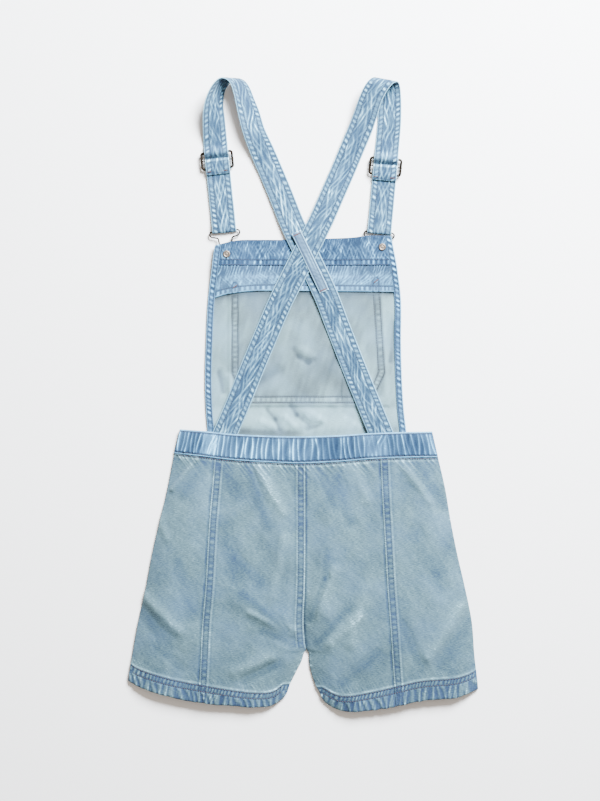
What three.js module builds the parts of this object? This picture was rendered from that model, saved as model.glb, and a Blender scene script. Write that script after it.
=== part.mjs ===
// Short-legged denim dungarees, laid flat with the back up and the bib seen from its inside.
// Millimetres. +Z is up, +Y runs from the hems to the strap loops, +X to the picture's right.
import * as THREE from 'three';

// Cloth thicknesses and the gap that is kept between pieces
const CLOTH = 1.2;
const LEG_CLOTH = 1.6;
const STRAP_CLOTH = 1.6;
const BAND_CLOTH = 1.6;
const KEEPER_CLOTH = 1.0;
const SEAM_GAP = 0.3;

// Legs: the back panels stand on the rim of the front ones and dome over the hollow leg
const RIM_HEIGHT = LEG_CLOTH + SEAM_GAP;
const SIDE_ROUNDING = 60;
const INSEAM_ROUNDING = 50;
const ROUNDING_POWER = 2.2;
const CROTCH_Y = -383;
const SEAT_CLOSES_FROM_Y = -290;
const FOLDS_START_Y = -95;
const FOLDS_FULL_BELOW = 40;
const PANEL_LENGTH = 365;
const PANEL_WIDTHS_AT_Y = -270;
const PANEL_ROWS = 13;
const PANEL_COLUMNS = 6;
const FRONT_LEG_ROWS = 12;
const FRONT_LEG_COLUMNS = 8;
const FELLED_SEAM_WIDTH = 14;
const FELLED_SEAM_EXTRA = 0.9;
const HEM_DEPTH = 28;
const HEM_EXTRA = 1.2;
const STEP_WIDTH = 1.5;

// One row for each height below the waist: seams across both legs, and how high the back cloth stands
const LEG_SECTIONS = [
  { y: -80, sideLeft: -191.5, panelLeft: -131.5, panelRight: 114.5, sideRight: 199, height: 5.6 },
  { y: -140, sideLeft: -203, panelLeft: -136.5, panelRight: 117, sideRight: 213, height: 8.5 },
  { y: -190, sideLeft: -215, panelLeft: -140.7, panelRight: 119.7, sideRight: 221.5, height: 11 },
  { y: -240, sideLeft: -226.5, panelLeft: -143.5, panelRight: 122.6, sideRight: 231.5, height: 12.5 },
  { y: -290, sideLeft: -236, panelLeft: -146.4, panelRight: 125.3, sideRight: 243, height: 13.5 },
  { y: -340, sideLeft: -247, panelLeft: -150.8, panelRight: 129, sideRight: 253, height: 13.5 },
  { y: -390, sideLeft: -256, panelLeft: -153.3, panelRight: 132.5, sideRight: 257, height: 12 },
  { y: -430, sideLeft: -262.5, panelLeft: -155.5, panelRight: 135.5, sideRight: 261.5, height: 9.5 },
  { y: -480, sideLeft: -268, panelLeft: -158, panelRight: 139.5, sideRight: 266, height: 8 },
];

// One row for each height along the inner edges, from the seat down the two inseams
const INNER_SECTIONS = [
  { y: -80, left: 3.5, right: 3.5 },
  { y: -240, left: 3.8, right: 3.8 },
  { y: -290, left: 3.0, right: 3.0 },
  { y: -340, left: 1.2, right: 1.2 },
  { y: -372, left: 3.2, right: 3.2 },
  { y: -382, left: 4.6, right: 5.4 },
  { y: -387, left: 1.5, right: 8.8 },
  { y: -398, left: -1.5, right: 9.0 },
  { y: -410, left: -7.5, right: 10.5 },
  { y: -434, left: -19.5, right: 18.0 },
  { y: -446, left: -23.5, right: 24.5 },
  { y: -458, left: -31.5, right: 30.0 },
  { y: -476, left: -42, right: 44 },
];

// The hem's lower edge, one row for each place across
const HEM_LEFT = [
  { x: -264, y: -427 },
  { x: -247.5, y: -437 },
  { x: -199.5, y: -452 },
  { x: -151.5, y: -461 },
  { x: -103.5, y: -466 },
  { x: -62, y: -467.5 },
  { x: -43.5, y: -464.5 },
  { x: -30, y: -455 },
];
const HEM_RIGHT = [
  { x: 30, y: -460 },
  { x: 46.5, y: -469.5 },
  { x: 60, y: -473.3 },
  { x: 82.5, y: -474 },
  { x: 130.5, y: -468 },
  { x: 178.5, y: -458 },
  { x: 226.5, y: -453.5 },
  { x: 244.5, y: -449 },
  { x: 264, y: -440 },
];

// The waistband, one row for each place across
const WAIST_SECTIONS = [
  { topX: -184.5, topY: -52, bottomX: -193.5, bottomY: -88.5 },
  { topX: -145, topY: -55, bottomX: -152, bottomY: -93 },
  { topX: -106, topY: -59, bottomX: -111, bottomY: -98 },
  { topX: -57, topY: -61.5, bottomX: -58, bottomY: -101.5 },
  { topX: -6, topY: -62.5, bottomX: -6, bottomY: -103.5 },
  { topX: 51, topY: -61, bottomX: 54, bottomY: -101 },
  { topX: 97.5, topY: -58, bottomX: 102, bottomY: -97 },
  { topX: 145.5, topY: -56.3, bottomX: 152, bottomY: -95 },
  { topX: 193.5, topY: -55.5, bottomX: 202.5, bottomY: -94.5 },
];
const GATHERS = 35;
const GATHER_HEIGHT = 2.4;
const GATHER_AT_EDGES = 0.6;
const GATHER_WANDER = 0.16;
const FRONT_BAND_BELOW_BACK = 5;
const WAIST_SEAM_GAP = 0.4;

// The broad folds of the legs: from one end to the other, half width and height
const LEG_FOLDS = [
  { x1: -72, y1: -128, x2: -20, y2: -248, width: 22, height: 3.5 },
  { x1: 63, y1: -128, x2: 30, y2: -230, width: 20, height: 3 },
  { x1: -94, y1: -308, x2: -27, y2: -346, width: 18, height: 4 },
  { x1: 44, y1: -178, x2: 26, y2: -323, width: 16, height: 3 },
  { x1: -159, y1: -105, x2: -186, y2: -139, width: 12, height: 2.5 },
  { x1: 160, y1: -115, x2: 204, y2: -190, width: 18, height: 3 },
  { x1: -229, y1: -308, x2: -165, y2: -368, width: 22, height: 3 },
  { x1: 185, y1: -308, x2: 85, y2: -398, width: 24, height: 3.5 },
];

// The bib's sides, one row for each height, and its top edge, one row for each place across
const BIB_SIDES = [
  { y: -80, left: -142.5, right: 156 },
  { y: -56, left: -143, right: 155 },
  { y: -26, left: -145.5, right: 151.5 },
  { y: 22, left: -147, right: 148.5 },
  { y: 80, left: -145.5, right: 147 },
  { y: 142, left: -142.5, right: 147 },
  { y: 190, left: -136.5, right: 141 },
  { y: 214, left: -133.5, right: 136.5 },
  { y: 240, left: -129, right: 131.5 },
];
const BIB_TOP = [
  { x: -134, y: 222.5 },
  { x: -99, y: 230.5 },
  { x: -66, y: 231.8 },
  { x: -28, y: 231.8 },
  { x: 37, y: 233.7 },
  { x: 76, y: 235.4 },
  { x: 96, y: 237.6 },
  { x: 134, y: 237.2 },
];
const FACING_EDGE = [
  { x: -132, y: 145 },
  { x: -115, y: 150 },
  { x: -73, y: 155 },
  { x: 0, y: 155 },
  { x: 134, y: 153.5 },
];
const BIB_HEM_WIDTH = 10;
const BAND_EDGE_Y = 193;

// The pocket on the bib's outer side, which the bib is lifted over
const POCKET = {
  left: -108,
  rightTop: 115.5,
  rightBottom: 126,
  top: 173,
  bottom: -14,
  chamfer: 24,
  chamferRise: 45,
};
const POCKET_LIFT = CLOTH + SEAM_GAP;
const POCKET_RAMP = 5;

// Fastenings: the bib's two buttons lie under it and lift its corners
const BUTTONS = [
  { side: 'left', x: -114.3, y: 210 },
  { side: 'right', x: 118.5, y: 220.5 },
];
const BUTTON_RADIUS = 8.5;
const BUTTON_HEIGHT = 2.7;
const BUTTON_LIFT = 5.5;
const LIFT_FULL_FROM_X = 97;
const LIFT_STARTS_AT_X = 69;
const RIVET_RADIUS = 5.5;
const RIVET_HEIGHT = 1.4;
const WIRE_RADIUS = 1;
const TURNED_STEPS = 20;
const HOOK_STEPS = 48;
const HOOK_SHOULDER = 12;
const HOOK_PAST_BUTTON = 3.2;

// Straps: middle line, height and the way across at each place, for the two sides
const STRAP_WIDTH = 36;
const STRAP_LEFT_ROUTE = [
  { x: 120.6, y: -68, z: 5.8 },
  { x: 114.6, y: -53, z: 5.7 },
  { x: 101, y: -20, z: 4.4 },
  { x: 76.5, y: 40, z: 4.1 },
  { x: 51, y: 105, z: 4.3 },
  { x: 34.5, y: 148, z: 5.6 },
  { x: 6.8, y: 207, z: 5.6 },
  { x: -9.5, y: 241, z: 4.8 },
  { x: -18.8, y: 262, z: 3.9 },
  { x: -33, y: 298, z: 3.0 },
  { x: -48, y: 334, z: 2.8 },
];
const STRAP_RIGHT_ROUTE = [
  { x: -120.5, y: -68, z: 5.8 },
  { x: -114.2, y: -53, z: 5.7 },
  { x: -100, y: -20, z: 4.4 },
  { x: -75.8, y: 40, z: 4.1 },
  { x: -54, y: 92, z: 4.5 },
  { x: -39, y: 127, z: 6.6 },
  { x: -29.3, y: 148, z: 7.6 },
  { x: 0, y: 206, z: 7.8 },
  { x: 17, y: 240, z: 7.5 },
  { x: 27.8, y: 262, z: 6.5 },
  { x: 43.5, y: 298, z: 4.2 },
  { x: 59.3, y: 334, z: 3.4 },
];

// The shoulder loops, given by the strap's two edges at each place
const LOOP_LEFT = [
  { leftX: -77.5, leftY: 357, leftZ: 5, rightX: -44.5, rightY: 371, rightZ: 3 },
  { leftX: -90, leftY: 391, leftZ: 14, rightX: -57.5, rightY: 398.5, rightZ: 3 },
  { leftX: -97.5, leftY: 421, leftZ: 19, rightX: -65.5, rightY: 424, rightZ: 3 },
  { leftX: -102.5, leftY: 445, leftZ: 23.5, rightX: -72.8, rightY: 442, rightZ: 3.2 },
  { leftX: -107.5, leftY: 461, leftZ: 27, rightX: -80.3, rightY: 460, rightZ: 3.4 },
  { leftX: -113.5, leftY: 468, leftZ: 29, rightX: -88, rightY: 470, rightZ: 3.5 },
  { leftX: -123, leftY: 470, leftZ: 30, rightX: -98.5, rightY: 473, rightZ: 3.4 },
  { leftX: -132.5, leftY: 462.5, leftZ: 29.5, rightX: -110.5, rightY: 465.5, rightZ: 2.5 },
  { leftX: -141.5, leftY: 448, leftZ: 27, rightX: -117.5, rightY: 453, rightZ: 2 },
  { leftX: -147.5, leftY: 430, leftZ: 22, rightX: -119.5, rightY: 433, rightZ: 1.6 },
  { leftX: -149.7, leftY: 409, leftZ: 14, rightX: -116.8, rightY: 410.5, rightZ: 1.4 },
];
const LOOP_RIGHT = [
  { leftX: 59.3, leftY: 381, leftZ: 5.2, rightX: 92.5, rightY: 367, rightZ: 5.4 },
  { leftX: 68.5, leftY: 402.5, leftZ: 7, rightX: 102.5, rightY: 390.5, rightZ: 8 },
  { leftX: 76, leftY: 421.5, leftZ: 11, rightX: 110.5, rightY: 414, rightZ: 13 },
  { leftX: 82.5, leftY: 440, leftZ: 15.5, rightX: 117, rightY: 435.5, rightZ: 18 },
  { leftX: 89, leftY: 455, leftZ: 19, rightX: 124, rightY: 450, rightZ: 21.5 },
  { leftX: 96, leftY: 466, leftZ: 20, rightX: 132, rightY: 461, rightZ: 22.5 },
  { leftX: 103, leftY: 472, leftZ: 17, rightX: 138.5, rightY: 466, rightZ: 19.5 },
  { leftX: 108, leftY: 473, leftZ: 12, rightX: 143, rightY: 465.5, rightZ: 14 },
  { leftX: 111.5, leftY: 468.5, leftZ: 7, rightX: 145.5, rightY: 459, rightZ: 8.5 },
  { leftX: 112.5, leftY: 453, leftZ: 3, rightX: 147, rightY: 447, rightZ: 4 },
  { leftX: 112.5, leftY: 430, leftZ: 1.5, rightX: 147.5, rightY: 427, rightZ: 1.8 },
  { leftX: 111.5, leftY: 406, leftZ: 1.2, rightX: 147, rightY: 404, rightZ: 1.2 },
];

// The front stretch of each strap runs straight from the loop to the hook
const FRONT_STRETCHES = [
  { side: 'left', fromX: -132.2, fromY: 385, toX: -117.8, toY: 245.5, sliderAt: 34.5 },
  { side: 'right', fromX: 127.2, fromY: 382, toX: 114.4, toY: 243.5, sliderAt: 41 },
];
const FLOOR_LAYER_Z = 1.0;
const SLIDER = {
  length: 26,
  width: 48,
  bar: 2,
  centreZ: 5.2,
  thickness: 2,
  knob: 1.6,
  corner: 4,
};
const FLAP_LENGTH = 21;

// The keeper follows the lower strap over the crossing
const KEEPER = {
  width: 15,
  fromY: 153.8,
  toY: 243,
  overFromY: 180,
  overToY: 238,
  overZ: 9.5,
  endRise: 1.7,
  firstRise: 14,
};

// Colours read from the photograph
const COLOURS = {
  legs: 0x97afbb,
  band: 0x88a7c0,
  bibInside: 0xb8c5c8,
  facing: 0xa2badb,
  straps: 0x9bb3c4,
  steel: 0x6d665c,
  brass: 0xc2a98c,
};

function cloth(colour) {
  return new THREE.MeshStandardMaterial({ color: colour, roughness: 0.92, metalness: 0 });
}

function metal(colour) {
  return new THREE.MeshStandardMaterial({ color: colour, roughness: 0.38, metalness: 1 });
}

function clamp(value, low, high) {
  return Math.min(high, Math.max(low, value));
}

function smooth(value) {
  const t = clamp(value, 0, 1);
  return t * t * (3 - 2 * t);
}

// A smooth curve through one column of a table: cubic pieces with the neighbours' mean slope
function through(rows, key, column) {
  const table = [...rows].sort((a, b) => a[key] - b[key]);
  const last = table.length - 1;
  const slope = (i) => {
    const a = table[Math.max(i - 1, 0)];
    const b = table[Math.min(i + 1, last)];
    return (b[column] - a[column]) / (b[key] - a[key]);
  };
  return (at) => {
    let i = 0;
    while (i < last - 1 && at > table[i + 1][key]) i += 1;
    const a = table[i];
    const b = table[i + 1];
    const span = b[key] - a[key];
    const t = clamp((at - a[key]) / span, 0, 1);
    const ease = t * t * (3 - 2 * t);
    const startPull = t * (1 - t) * (1 - t) * span * slope(i);
    const endPull = t * t * (t - 1) * span * slope(i + 1);
    return a[column] * (1 - ease) + b[column] * ease + startPull + endPull;
  };
}

// A closed wall between a lower and an upper grid of points, both [column][row]
function wall(lower, upper) {
  const columns = lower.length;
  const rows = lower[0].length;
  const positions = [];
  for (const grid of [lower, upper]) {
    for (const line of grid) {
      for (const p of line) positions.push(p.x, p.y, p.z);
    }
  }
  const top = columns * rows;
  const at = (i, j) => i * rows + j;
  const faces = [];
  for (let i = 0; i < columns - 1; i += 1) {
    for (let j = 0; j < rows - 1; j += 1) {
      const a = at(i, j);
      const b = at(i + 1, j);
      const c = at(i + 1, j + 1);
      const d = at(i, j + 1);
      faces.push(a, c, b, a, d, c);
      faces.push(top + a, top + b, top + c, top + a, top + c, top + d);
    }
  }
  const side = (a, b) => faces.push(a, b, top + b, a, top + b, top + a);
  for (let i = 0; i < columns - 1; i += 1) {
    side(at(i, 0), at(i + 1, 0));
    side(at(i + 1, rows - 1), at(i, rows - 1));
  }
  for (let j = 0; j < rows - 1; j += 1) {
    side(at(0, j + 1), at(0, j));
    side(at(columns - 1, j), at(columns - 1, j + 1));
  }
  const geometry = new THREE.BufferGeometry();
  geometry.setAttribute('position', new THREE.Float32BufferAttribute(positions, 3));
  geometry.setIndex(faces);
  geometry.computeVertexNormals();
  return geometry;
}

function grid(columns, rows, point) {
  return columns.map((u) => rows.map((v) => point(u, v)));
}

function steps(count) {
  return Array.from({ length: count + 1 }, (unused, i) => i / count);
}

function piece(name, geometry, material) {
  const mesh = new THREE.Mesh(geometry, material);
  mesh.name = name;
  return mesh;
}

// Outline curves of the legs and waist
const sideLeft = through(LEG_SECTIONS, 'y', 'sideLeft');
const sideRight = through(LEG_SECTIONS, 'y', 'sideRight');
const panelLeft = through(LEG_SECTIONS, 'y', 'panelLeft');
const panelRight = through(LEG_SECTIONS, 'y', 'panelRight');
const legHeight = through(LEG_SECTIONS, 'y', 'height');
const innerLeft = through(INNER_SECTIONS, 'y', 'left');
const innerRight = through(INNER_SECTIONS, 'y', 'right');
const hemLeft = through(HEM_LEFT, 'x', 'y');
const hemRight = through(HEM_RIGHT, 'x', 'y');
const waistTop = through(WAIST_SECTIONS, 'topX', 'topY');
const waistBottom = through(WAIST_SECTIONS, 'bottomX', 'bottomY');

// Height of the broad folds at a point: a bell across each fold, fading at its ends
function foldHeight(x, y) {
  let height = 0;
  for (const fold of LEG_FOLDS) {
    const dx = fold.x2 - fold.x1;
    const dy = fold.y2 - fold.y1;
    const t = clamp(((x - fold.x1) * dx + (y - fold.y1) * dy) / (dx * dx + dy * dy), 0, 1);
    const away = Math.hypot(x - fold.x1 - t * dx, y - fold.y1 - t * dy) / fold.width;
    height += fold.height * Math.exp(-away * away);
  }
  return height;
}

function rounding(distance, reach) {
  return 1 - (1 - clamp(distance / reach, 0, 1)) ** ROUNDING_POWER;
}

// Underside of the back cloth: rounded up from the sides, and down again to the inseams below the seat
function backUnderside(x, y) {
  const outer = rounding(Math.min(x - sideLeft(y), sideRight(y) - x), SIDE_ROUNDING);
  const onLeft = x < (innerLeft(y) + innerRight(y)) / 2;
  const inward = onLeft ? innerLeft(y) - x : x - innerRight(y);
  const closing = smooth((SEAT_CLOSES_FROM_Y - y) / (SEAT_CLOSES_FROM_Y - CROTCH_Y));
  const inner = 1 - closing * (1 - rounding(inward, INSEAM_ROUNDING));
  const waistFade = smooth((FOLDS_START_Y - y) / FOLDS_FULL_BELOW);
  return RIM_HEIGHT + (legHeight(y) + foldHeight(x, y) * waistFade) * outer * inner;
}

// Where the column u between two seam lines meets the row v between the waist and the hem
function legPoint(panel, u, v) {
  const top = (x) => waistBottom(x) - SEAM_GAP / 2;
  let y = v < 0.5 ? top(panel.middle) : panel.hem(panel.middle);
  let x = panel.middle;
  for (let turn = 0; turn < 24; turn += 1) {
    const from = panel.from(y) + SEAM_GAP / 2;
    const to = panel.to(y) - SEAM_GAP / 2;
    x = (x + from + (to - from) * u) / 2;
    y = (y + top(x) + (panel.hem(x) - top(x)) * v) / 2;
  }
  return { x, y };
}

const LEG_PANELS = [
  { name: 'left_side', from: sideLeft, to: panelLeft, hem: hemLeft, middle: -190, felled: 'none' },
  { name: 'left_centre', from: panelLeft, to: innerLeft, hem: hemLeft, middle: -90, felled: 'both' },
  { name: 'right_centre', from: innerRight, to: panelRight, hem: hemRight, middle: 80, felled: 'none' },
  { name: 'right_side', from: panelRight, to: sideRight, hem: hemRight, middle: 190, felled: 'start' },
];

// The panel's outer side is thicker over the hem and over the felled seams
function legThickness(panel, x, y) {
  let extra = 0;
  const atStart = panel.felled !== 'none' && x - panel.from(y) < FELLED_SEAM_WIDTH;
  const atEnd = panel.felled === 'both' && panel.to(y) - x < FELLED_SEAM_WIDTH && y > CROTCH_Y;
  if (atStart || atEnd) extra = FELLED_SEAM_EXTRA;
  if (y - panel.hem(x) < HEM_DEPTH) extra += HEM_EXTRA;
  return CLOTH + extra;
}

function backPanel(panel, material) {
  const width = panel.to(PANEL_WIDTHS_AT_Y) - panel.from(PANEL_WIDTHS_AT_Y);
  const band = FELLED_SEAM_WIDTH / width;
  const step = STEP_WIDTH / width;
  const inner = steps(PANEL_COLUMNS).slice(1, -1);
  const columns = [0];
  if (panel.felled !== 'none') columns.push(band - step, band + step);
  columns.push(...inner);
  if (panel.felled === 'both') columns.push(1 - band - step, 1 - band + step);
  columns.push(1);
  const hem = 1 - HEM_DEPTH / PANEL_LENGTH;
  const rows = steps(PANEL_ROWS).map((t) => t * (hem - step));
  rows.push(hem + STEP_WIDTH / PANEL_LENGTH, (1 + hem) / 2, 1);
  const lower = grid(columns, rows, (u, v) => {
    const { x, y } = legPoint(panel, u, v);
    return new THREE.Vector3(x, y, backUnderside(x, y));
  });
  const upper = grid(columns, rows, (u, v) => {
    const { x, y } = legPoint(panel, u, v);
    return new THREE.Vector3(x, y, backUnderside(x, y) + legThickness(panel, x, y));
  });
  return piece(`back_leg_${panel.name}`, wall(upper, lower), material);
}

function frontLeg(name, from, to, hem, middle, material) {
  const panel = { from, to, hem, middle };
  const columns = steps(FRONT_LEG_COLUMNS);
  const rows = steps(FRONT_LEG_ROWS);
  const flat = (z) => grid(columns, rows, (u, v) => {
    const { x, y } = legPoint(panel, u, v);
    return new THREE.Vector3(x, y, z);
  });
  return piece(name, wall(flat(LEG_CLOTH), flat(0)), material);
}

// A place on the waistband: u along it from left to right, v from its lower to its upper edge
function waistPoint(u, v) {
  const last = WAIST_SECTIONS.length - 1;
  const rows = WAIST_SECTIONS.map((row, i) => ({ ...row, u: i / last }));
  const at = (column) => through(rows, 'u', column)(u);
  const bottomX = at('bottomX');
  const x = bottomX * (1 - v) + at('topX') * v;
  const y = (waistBottom(bottomX) + WAIST_SEAM_GAP) * (1 - v) + at('topY') * v;
  return { x, y };
}

// Gathers: a ridge and a valley by turns, not quite even in pitch and height
function gatherHeight(column) {
  if (column % 2 === 0) return 0;
  const flatter = 1 - 0.45 * smooth(Math.sin(column * 0.37) * 0.8);
  return GATHER_HEIGHT * flatter;
}

function backWaistband(material) {
  const count = GATHERS * 2;
  const columns = steps(count).map((u, i) => ({
    u: clamp(u + (GATHER_WANDER * Math.sin(i * 2.1)) / count, 0, 1),
    ridge: gatherHeight(i),
  }));
  const rows = [0, 0.35, 0.75, 1];
  const lower = grid(columns, rows, (column, v) => {
    const { x, y } = waistPoint(column.u, v);
    return new THREE.Vector3(x, y, backUnderside(x, y));
  });
  const upper = grid(columns, rows, (column, v) => {
    const { x, y } = waistPoint(column.u, v);
    const fade = v === 0 || v === 1 ? GATHER_AT_EDGES : 1;
    return new THREE.Vector3(x, y, backUnderside(x, y) + BAND_CLOTH + column.ridge * fade);
  });
  return piece('back_waistband', wall(lower, upper), material);
}

function frontWaistband(material) {
  const columns = steps(16);
  const flat = (z) => grid(columns, [0, 1], (u, v) => {
    const { x, y } = waistPoint(u, v);
    return new THREE.Vector3(x, y - v * FRONT_BAND_BELOW_BACK, z);
  });
  return piece('front_waistband', wall(flat(0), flat(LEG_CLOTH)), material);
}

// The bib's lattice: lines down it and across it, shared by everything that lies on it
const bibLeft = through(BIB_SIDES, 'y', 'left');
const bibRight = through(BIB_SIDES, 'y', 'right');
const bibTop = through(BIB_TOP, 'x', 'y');
const facingEdge = through(FACING_EDGE, 'x', 'y');

function pocketRight(y) {
  const t = (POCKET.top - y) / (POCKET.top - POCKET.bottom);
  return POCKET.rightTop + (POCKET.rightBottom - POCKET.rightTop) * clamp(t, -0.4, 1.2);
}

// The lines numbered here are those that other pieces start and end at
const COLUMN = {
  left: 0,
  hemLeft: 1,
  pocketLeft: 3,
  buttonLeft: 4,
  buttonRight: 9,
  pocketRight: 10,
  hemRight: 12,
  right: 13,
};
const ROW = { bottom: 0, pocketBottom: 3, facing: 7, pocketTop: 8, pastPocket: 9, band: 10, top: 12 };
const CLIMB_AT_POCKET_TOP = 0.5;
const CLIMB_PAST_POCKET = 0.63;

const BIB_COLUMNS = [
  bibLeft,
  (y) => bibLeft(y) + BIB_HEM_WIDTH,
  () => POCKET.left - 1 - POCKET_RAMP,
  () => POCKET.left - 1,
  () => -LIFT_FULL_FROM_X,
  () => -LIFT_STARTS_AT_X,
  () => -25,
  () => 25,
  () => LIFT_STARTS_AT_X,
  () => LIFT_FULL_FROM_X,
  (y) => Math.min(pocketRight(y) + 1, bibRight(y) - BIB_HEM_WIDTH - 8),
  (y) => Math.min(pocketRight(y) + 1 + POCKET_RAMP, bibRight(y) - BIB_HEM_WIDTH - 3),
  (y) => bibRight(y) - BIB_HEM_WIDTH,
  bibRight,
];
const BIB_ROWS = [
  (x) => waistTop(x) - FRONT_BAND_BELOW_BACK + SEAM_GAP,
  () => -45,
  () => POCKET.bottom - 1 - POCKET_RAMP,
  () => POCKET.bottom - 1,
  () => 35,
  () => 85,
  () => 125,
  facingEdge,
  () => POCKET.top + 1,
  () => POCKET.top + 1 + POCKET_RAMP,
  () => BAND_EDGE_Y,
  () => 212,
  bibTop,
];

// Where a column line meets a row line
function bibPoint(column, row) {
  let x = 0;
  let y = 100;
  for (let turn = 0; turn < 12; turn += 1) {
    x = BIB_COLUMNS[column](y);
    y = BIB_ROWS[row](x);
  }
  return { x, y };
}

// Underside of the bib: flat on the surface, lifted over the pocket and over the two buttons
function bibUnderside(column, row) {
  const acrossPocket = column >= COLUMN.pocketLeft && column <= COLUMN.pocketRight;
  const overPocket = acrossPocket && row >= ROW.pocketBottom && row <= ROW.pocketTop;
  const overButton = column <= COLUMN.buttonLeft || column >= COLUMN.buttonRight;
  const low = overPocket ? POCKET_LIFT : 0;
  if (!overButton || row <= ROW.facing) return low;
  let climb = 1;
  if (row === ROW.pocketTop) climb = CLIMB_AT_POCKET_TOP;
  if (row === ROW.pastPocket) climb = CLIMB_PAST_POCKET;
  return low + (BUTTON_LIFT - low) * climb;
}

// The bib and the pieces on it: the lines that each lies between, and the edges that meet a neighbour
const ON_BIB = CLOTH + SEAM_GAP;
const BIB_LAYERS = [
  {
    name: 'bib',
    columns: [COLUMN.left, COLUMN.right],
    rows: [ROW.bottom, ROW.top],
    meets: [],
    base: 0,
    thickness: CLOTH,
    colour: COLOURS.bibInside,
  },
  {
    name: 'bib_hem_left',
    columns: [COLUMN.left, COLUMN.hemLeft],
    rows: [ROW.bottom, ROW.top],
    meets: ['right'],
    base: ON_BIB,
    thickness: CLOTH,
    colour: COLOURS.band,
  },
  {
    name: 'bib_hem_right',
    columns: [COLUMN.hemRight, COLUMN.right],
    rows: [ROW.bottom, ROW.top],
    meets: ['left'],
    base: ON_BIB,
    thickness: CLOTH,
    colour: COLOURS.band,
  },
  {
    name: 'bib_facing',
    columns: [COLUMN.hemLeft, COLUMN.hemRight],
    rows: [ROW.facing, ROW.band],
    meets: ['left', 'right', 'top'],
    base: ON_BIB,
    thickness: CLOTH,
    colour: COLOURS.facing,
  },
  {
    name: 'bib_top_band',
    columns: [COLUMN.hemLeft, COLUMN.hemRight],
    rows: [ROW.band, ROW.top],
    meets: ['left', 'right', 'bottom'],
    base: ON_BIB,
    thickness: BAND_CLOTH,
    colour: COLOURS.band,
  },
];

// A piece on the bib: part of the lattice, drawn in a little where it meets a neighbour and moved up
function bibLayer(layer, material) {
  const { columns, rows, meets } = layer;
  const range = (from, to) => Array.from({ length: to - from + 1 }, (unused, i) => from + i);
  const drawn = (edge, here) => (here && meets.includes(edge) ? SEAM_GAP / 2 : 0);
  const surface = (rise) => grid(range(...columns), range(...rows), (column, row) => {
    const { x, y } = bibPoint(column, row);
    const inX = drawn('left', column === columns[0]) - drawn('right', column === columns[1]);
    const inY = drawn('bottom', row === rows[0]) - drawn('top', row === rows[1]);
    return new THREE.Vector3(x + inX, y + inY, bibUnderside(column, row) + rise);
  });
  const wallOfLayer = wall(surface(layer.base), surface(layer.base + layer.thickness));
  return piece(layer.name, wallOfLayer, material);
}

function bibPocket(material) {
  const outline = new THREE.Shape();
  outline.moveTo(POCKET.left, POCKET.top);
  outline.lineTo(POCKET.left, POCKET.bottom + POCKET.chamferRise);
  outline.lineTo(POCKET.left + POCKET.chamfer, POCKET.bottom);
  outline.lineTo(POCKET.rightBottom - POCKET.chamfer, POCKET.bottom);
  outline.lineTo(pocketRight(POCKET.bottom + POCKET.chamferRise), POCKET.bottom + POCKET.chamferRise);
  outline.lineTo(POCKET.rightTop, POCKET.top);
  outline.closePath();
  const geometry = new THREE.ExtrudeGeometry(outline, { depth: CLOTH, bevelEnabled: false });
  return piece('bib_pocket', geometry, material);
}

// A strap: a wall through pairs of edge points, half its thickness to each side
function ribbon(stations, thickness, acrossSteps) {
  const lower = [];
  const upper = [];
  const last = stations.length - 1;
  for (const t of steps(acrossSteps)) {
    const low = [];
    const high = [];
    stations.forEach((station, i) => {
      const before = stations[Math.max(i - 1, 0)];
      const after = stations[Math.min(i + 1, last)];
      const here = station.left.clone().lerp(station.right, t);
      const next = after.left.clone().lerp(after.right, t);
      const along = next.sub(before.left.clone().lerp(before.right, t));
      const across = station.right.clone().sub(station.left);
      const out = across.cross(along).normalize().multiplyScalar(thickness / 2);
      low.push(here.clone().sub(out));
      high.push(here.clone().add(out));
    });
    lower.push(low);
    upper.push(high);
  }
  return wall(lower, upper);
}

// Edge points at a middle point, square to the way the strap runs in plan
function crossStation(middle, direction, width) {
  const flat = new THREE.Vector3(direction.x, direction.y, 0).normalize();
  const right = new THREE.Vector3(flat.y, -flat.x, 0).multiplyScalar(width / 2);
  return { left: middle.clone().sub(right), right: middle.clone().add(right) };
}

// The back stretch: a smooth line through the route's rows, square stations along it
function routeStations(route, count, width) {
  const curve = new THREE.CatmullRomCurve3(route.map((row) => new THREE.Vector3(row.x, row.y, row.z)));
  return steps(count).map((t) => crossStation(curve.getPointAt(t), curve.getTangentAt(t), width));
}

// The loop: smooth lines through both edges
function loopStations(loop, before, after, count) {
  const edge = (side) => {
    const rows = loop.map((row) => new THREE.Vector3(row[`${side}X`], row[`${side}Y`], row[`${side}Z`]));
    return new THREE.CatmullRomCurve3([before[side], ...rows, after[side]]);
  };
  const left = edge('left');
  const right = edge('right');
  return steps(count).slice(1, -1).map((t) => ({ left: left.getPoint(t), right: right.getPoint(t) }));
}

// The front stretch in its own plane: along from the loop's end to the hook, and height
function frontFrame(stretch) {
  const from = new THREE.Vector3(stretch.fromX, stretch.fromY, 0);
  const to = new THREE.Vector3(stretch.toX, stretch.toY, 0);
  const direction = to.clone().sub(from).normalize();
  const length = from.distanceTo(to);
  const station = (along, z) => {
    const middle = from.clone().addScaledVector(direction, along);
    middle.z = z;
    const pair = crossStation(middle, direction, STRAP_WIDTH);
    return { left: pair.right, right: pair.left };
  };
  return { from, direction, length, station };
}

// Down the front: over the slider's upper bar, through the slot, under its middle bar, to the hook
const UNDER_SLIDER = [
  { before: 24, z: 1.6 },
  { before: 18, z: 4.4 },
  { before: 14.6, z: 6.9 },
  { before: 12, z: 7.6 },
  { before: 9.6, z: 6.9 },
  { before: 7.2, z: 4.9 },
  { before: 5, z: 2.7 },
  { before: 2.8, z: 1.5 },
  { before: 0, z: FLOOR_LAYER_Z },
];

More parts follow.
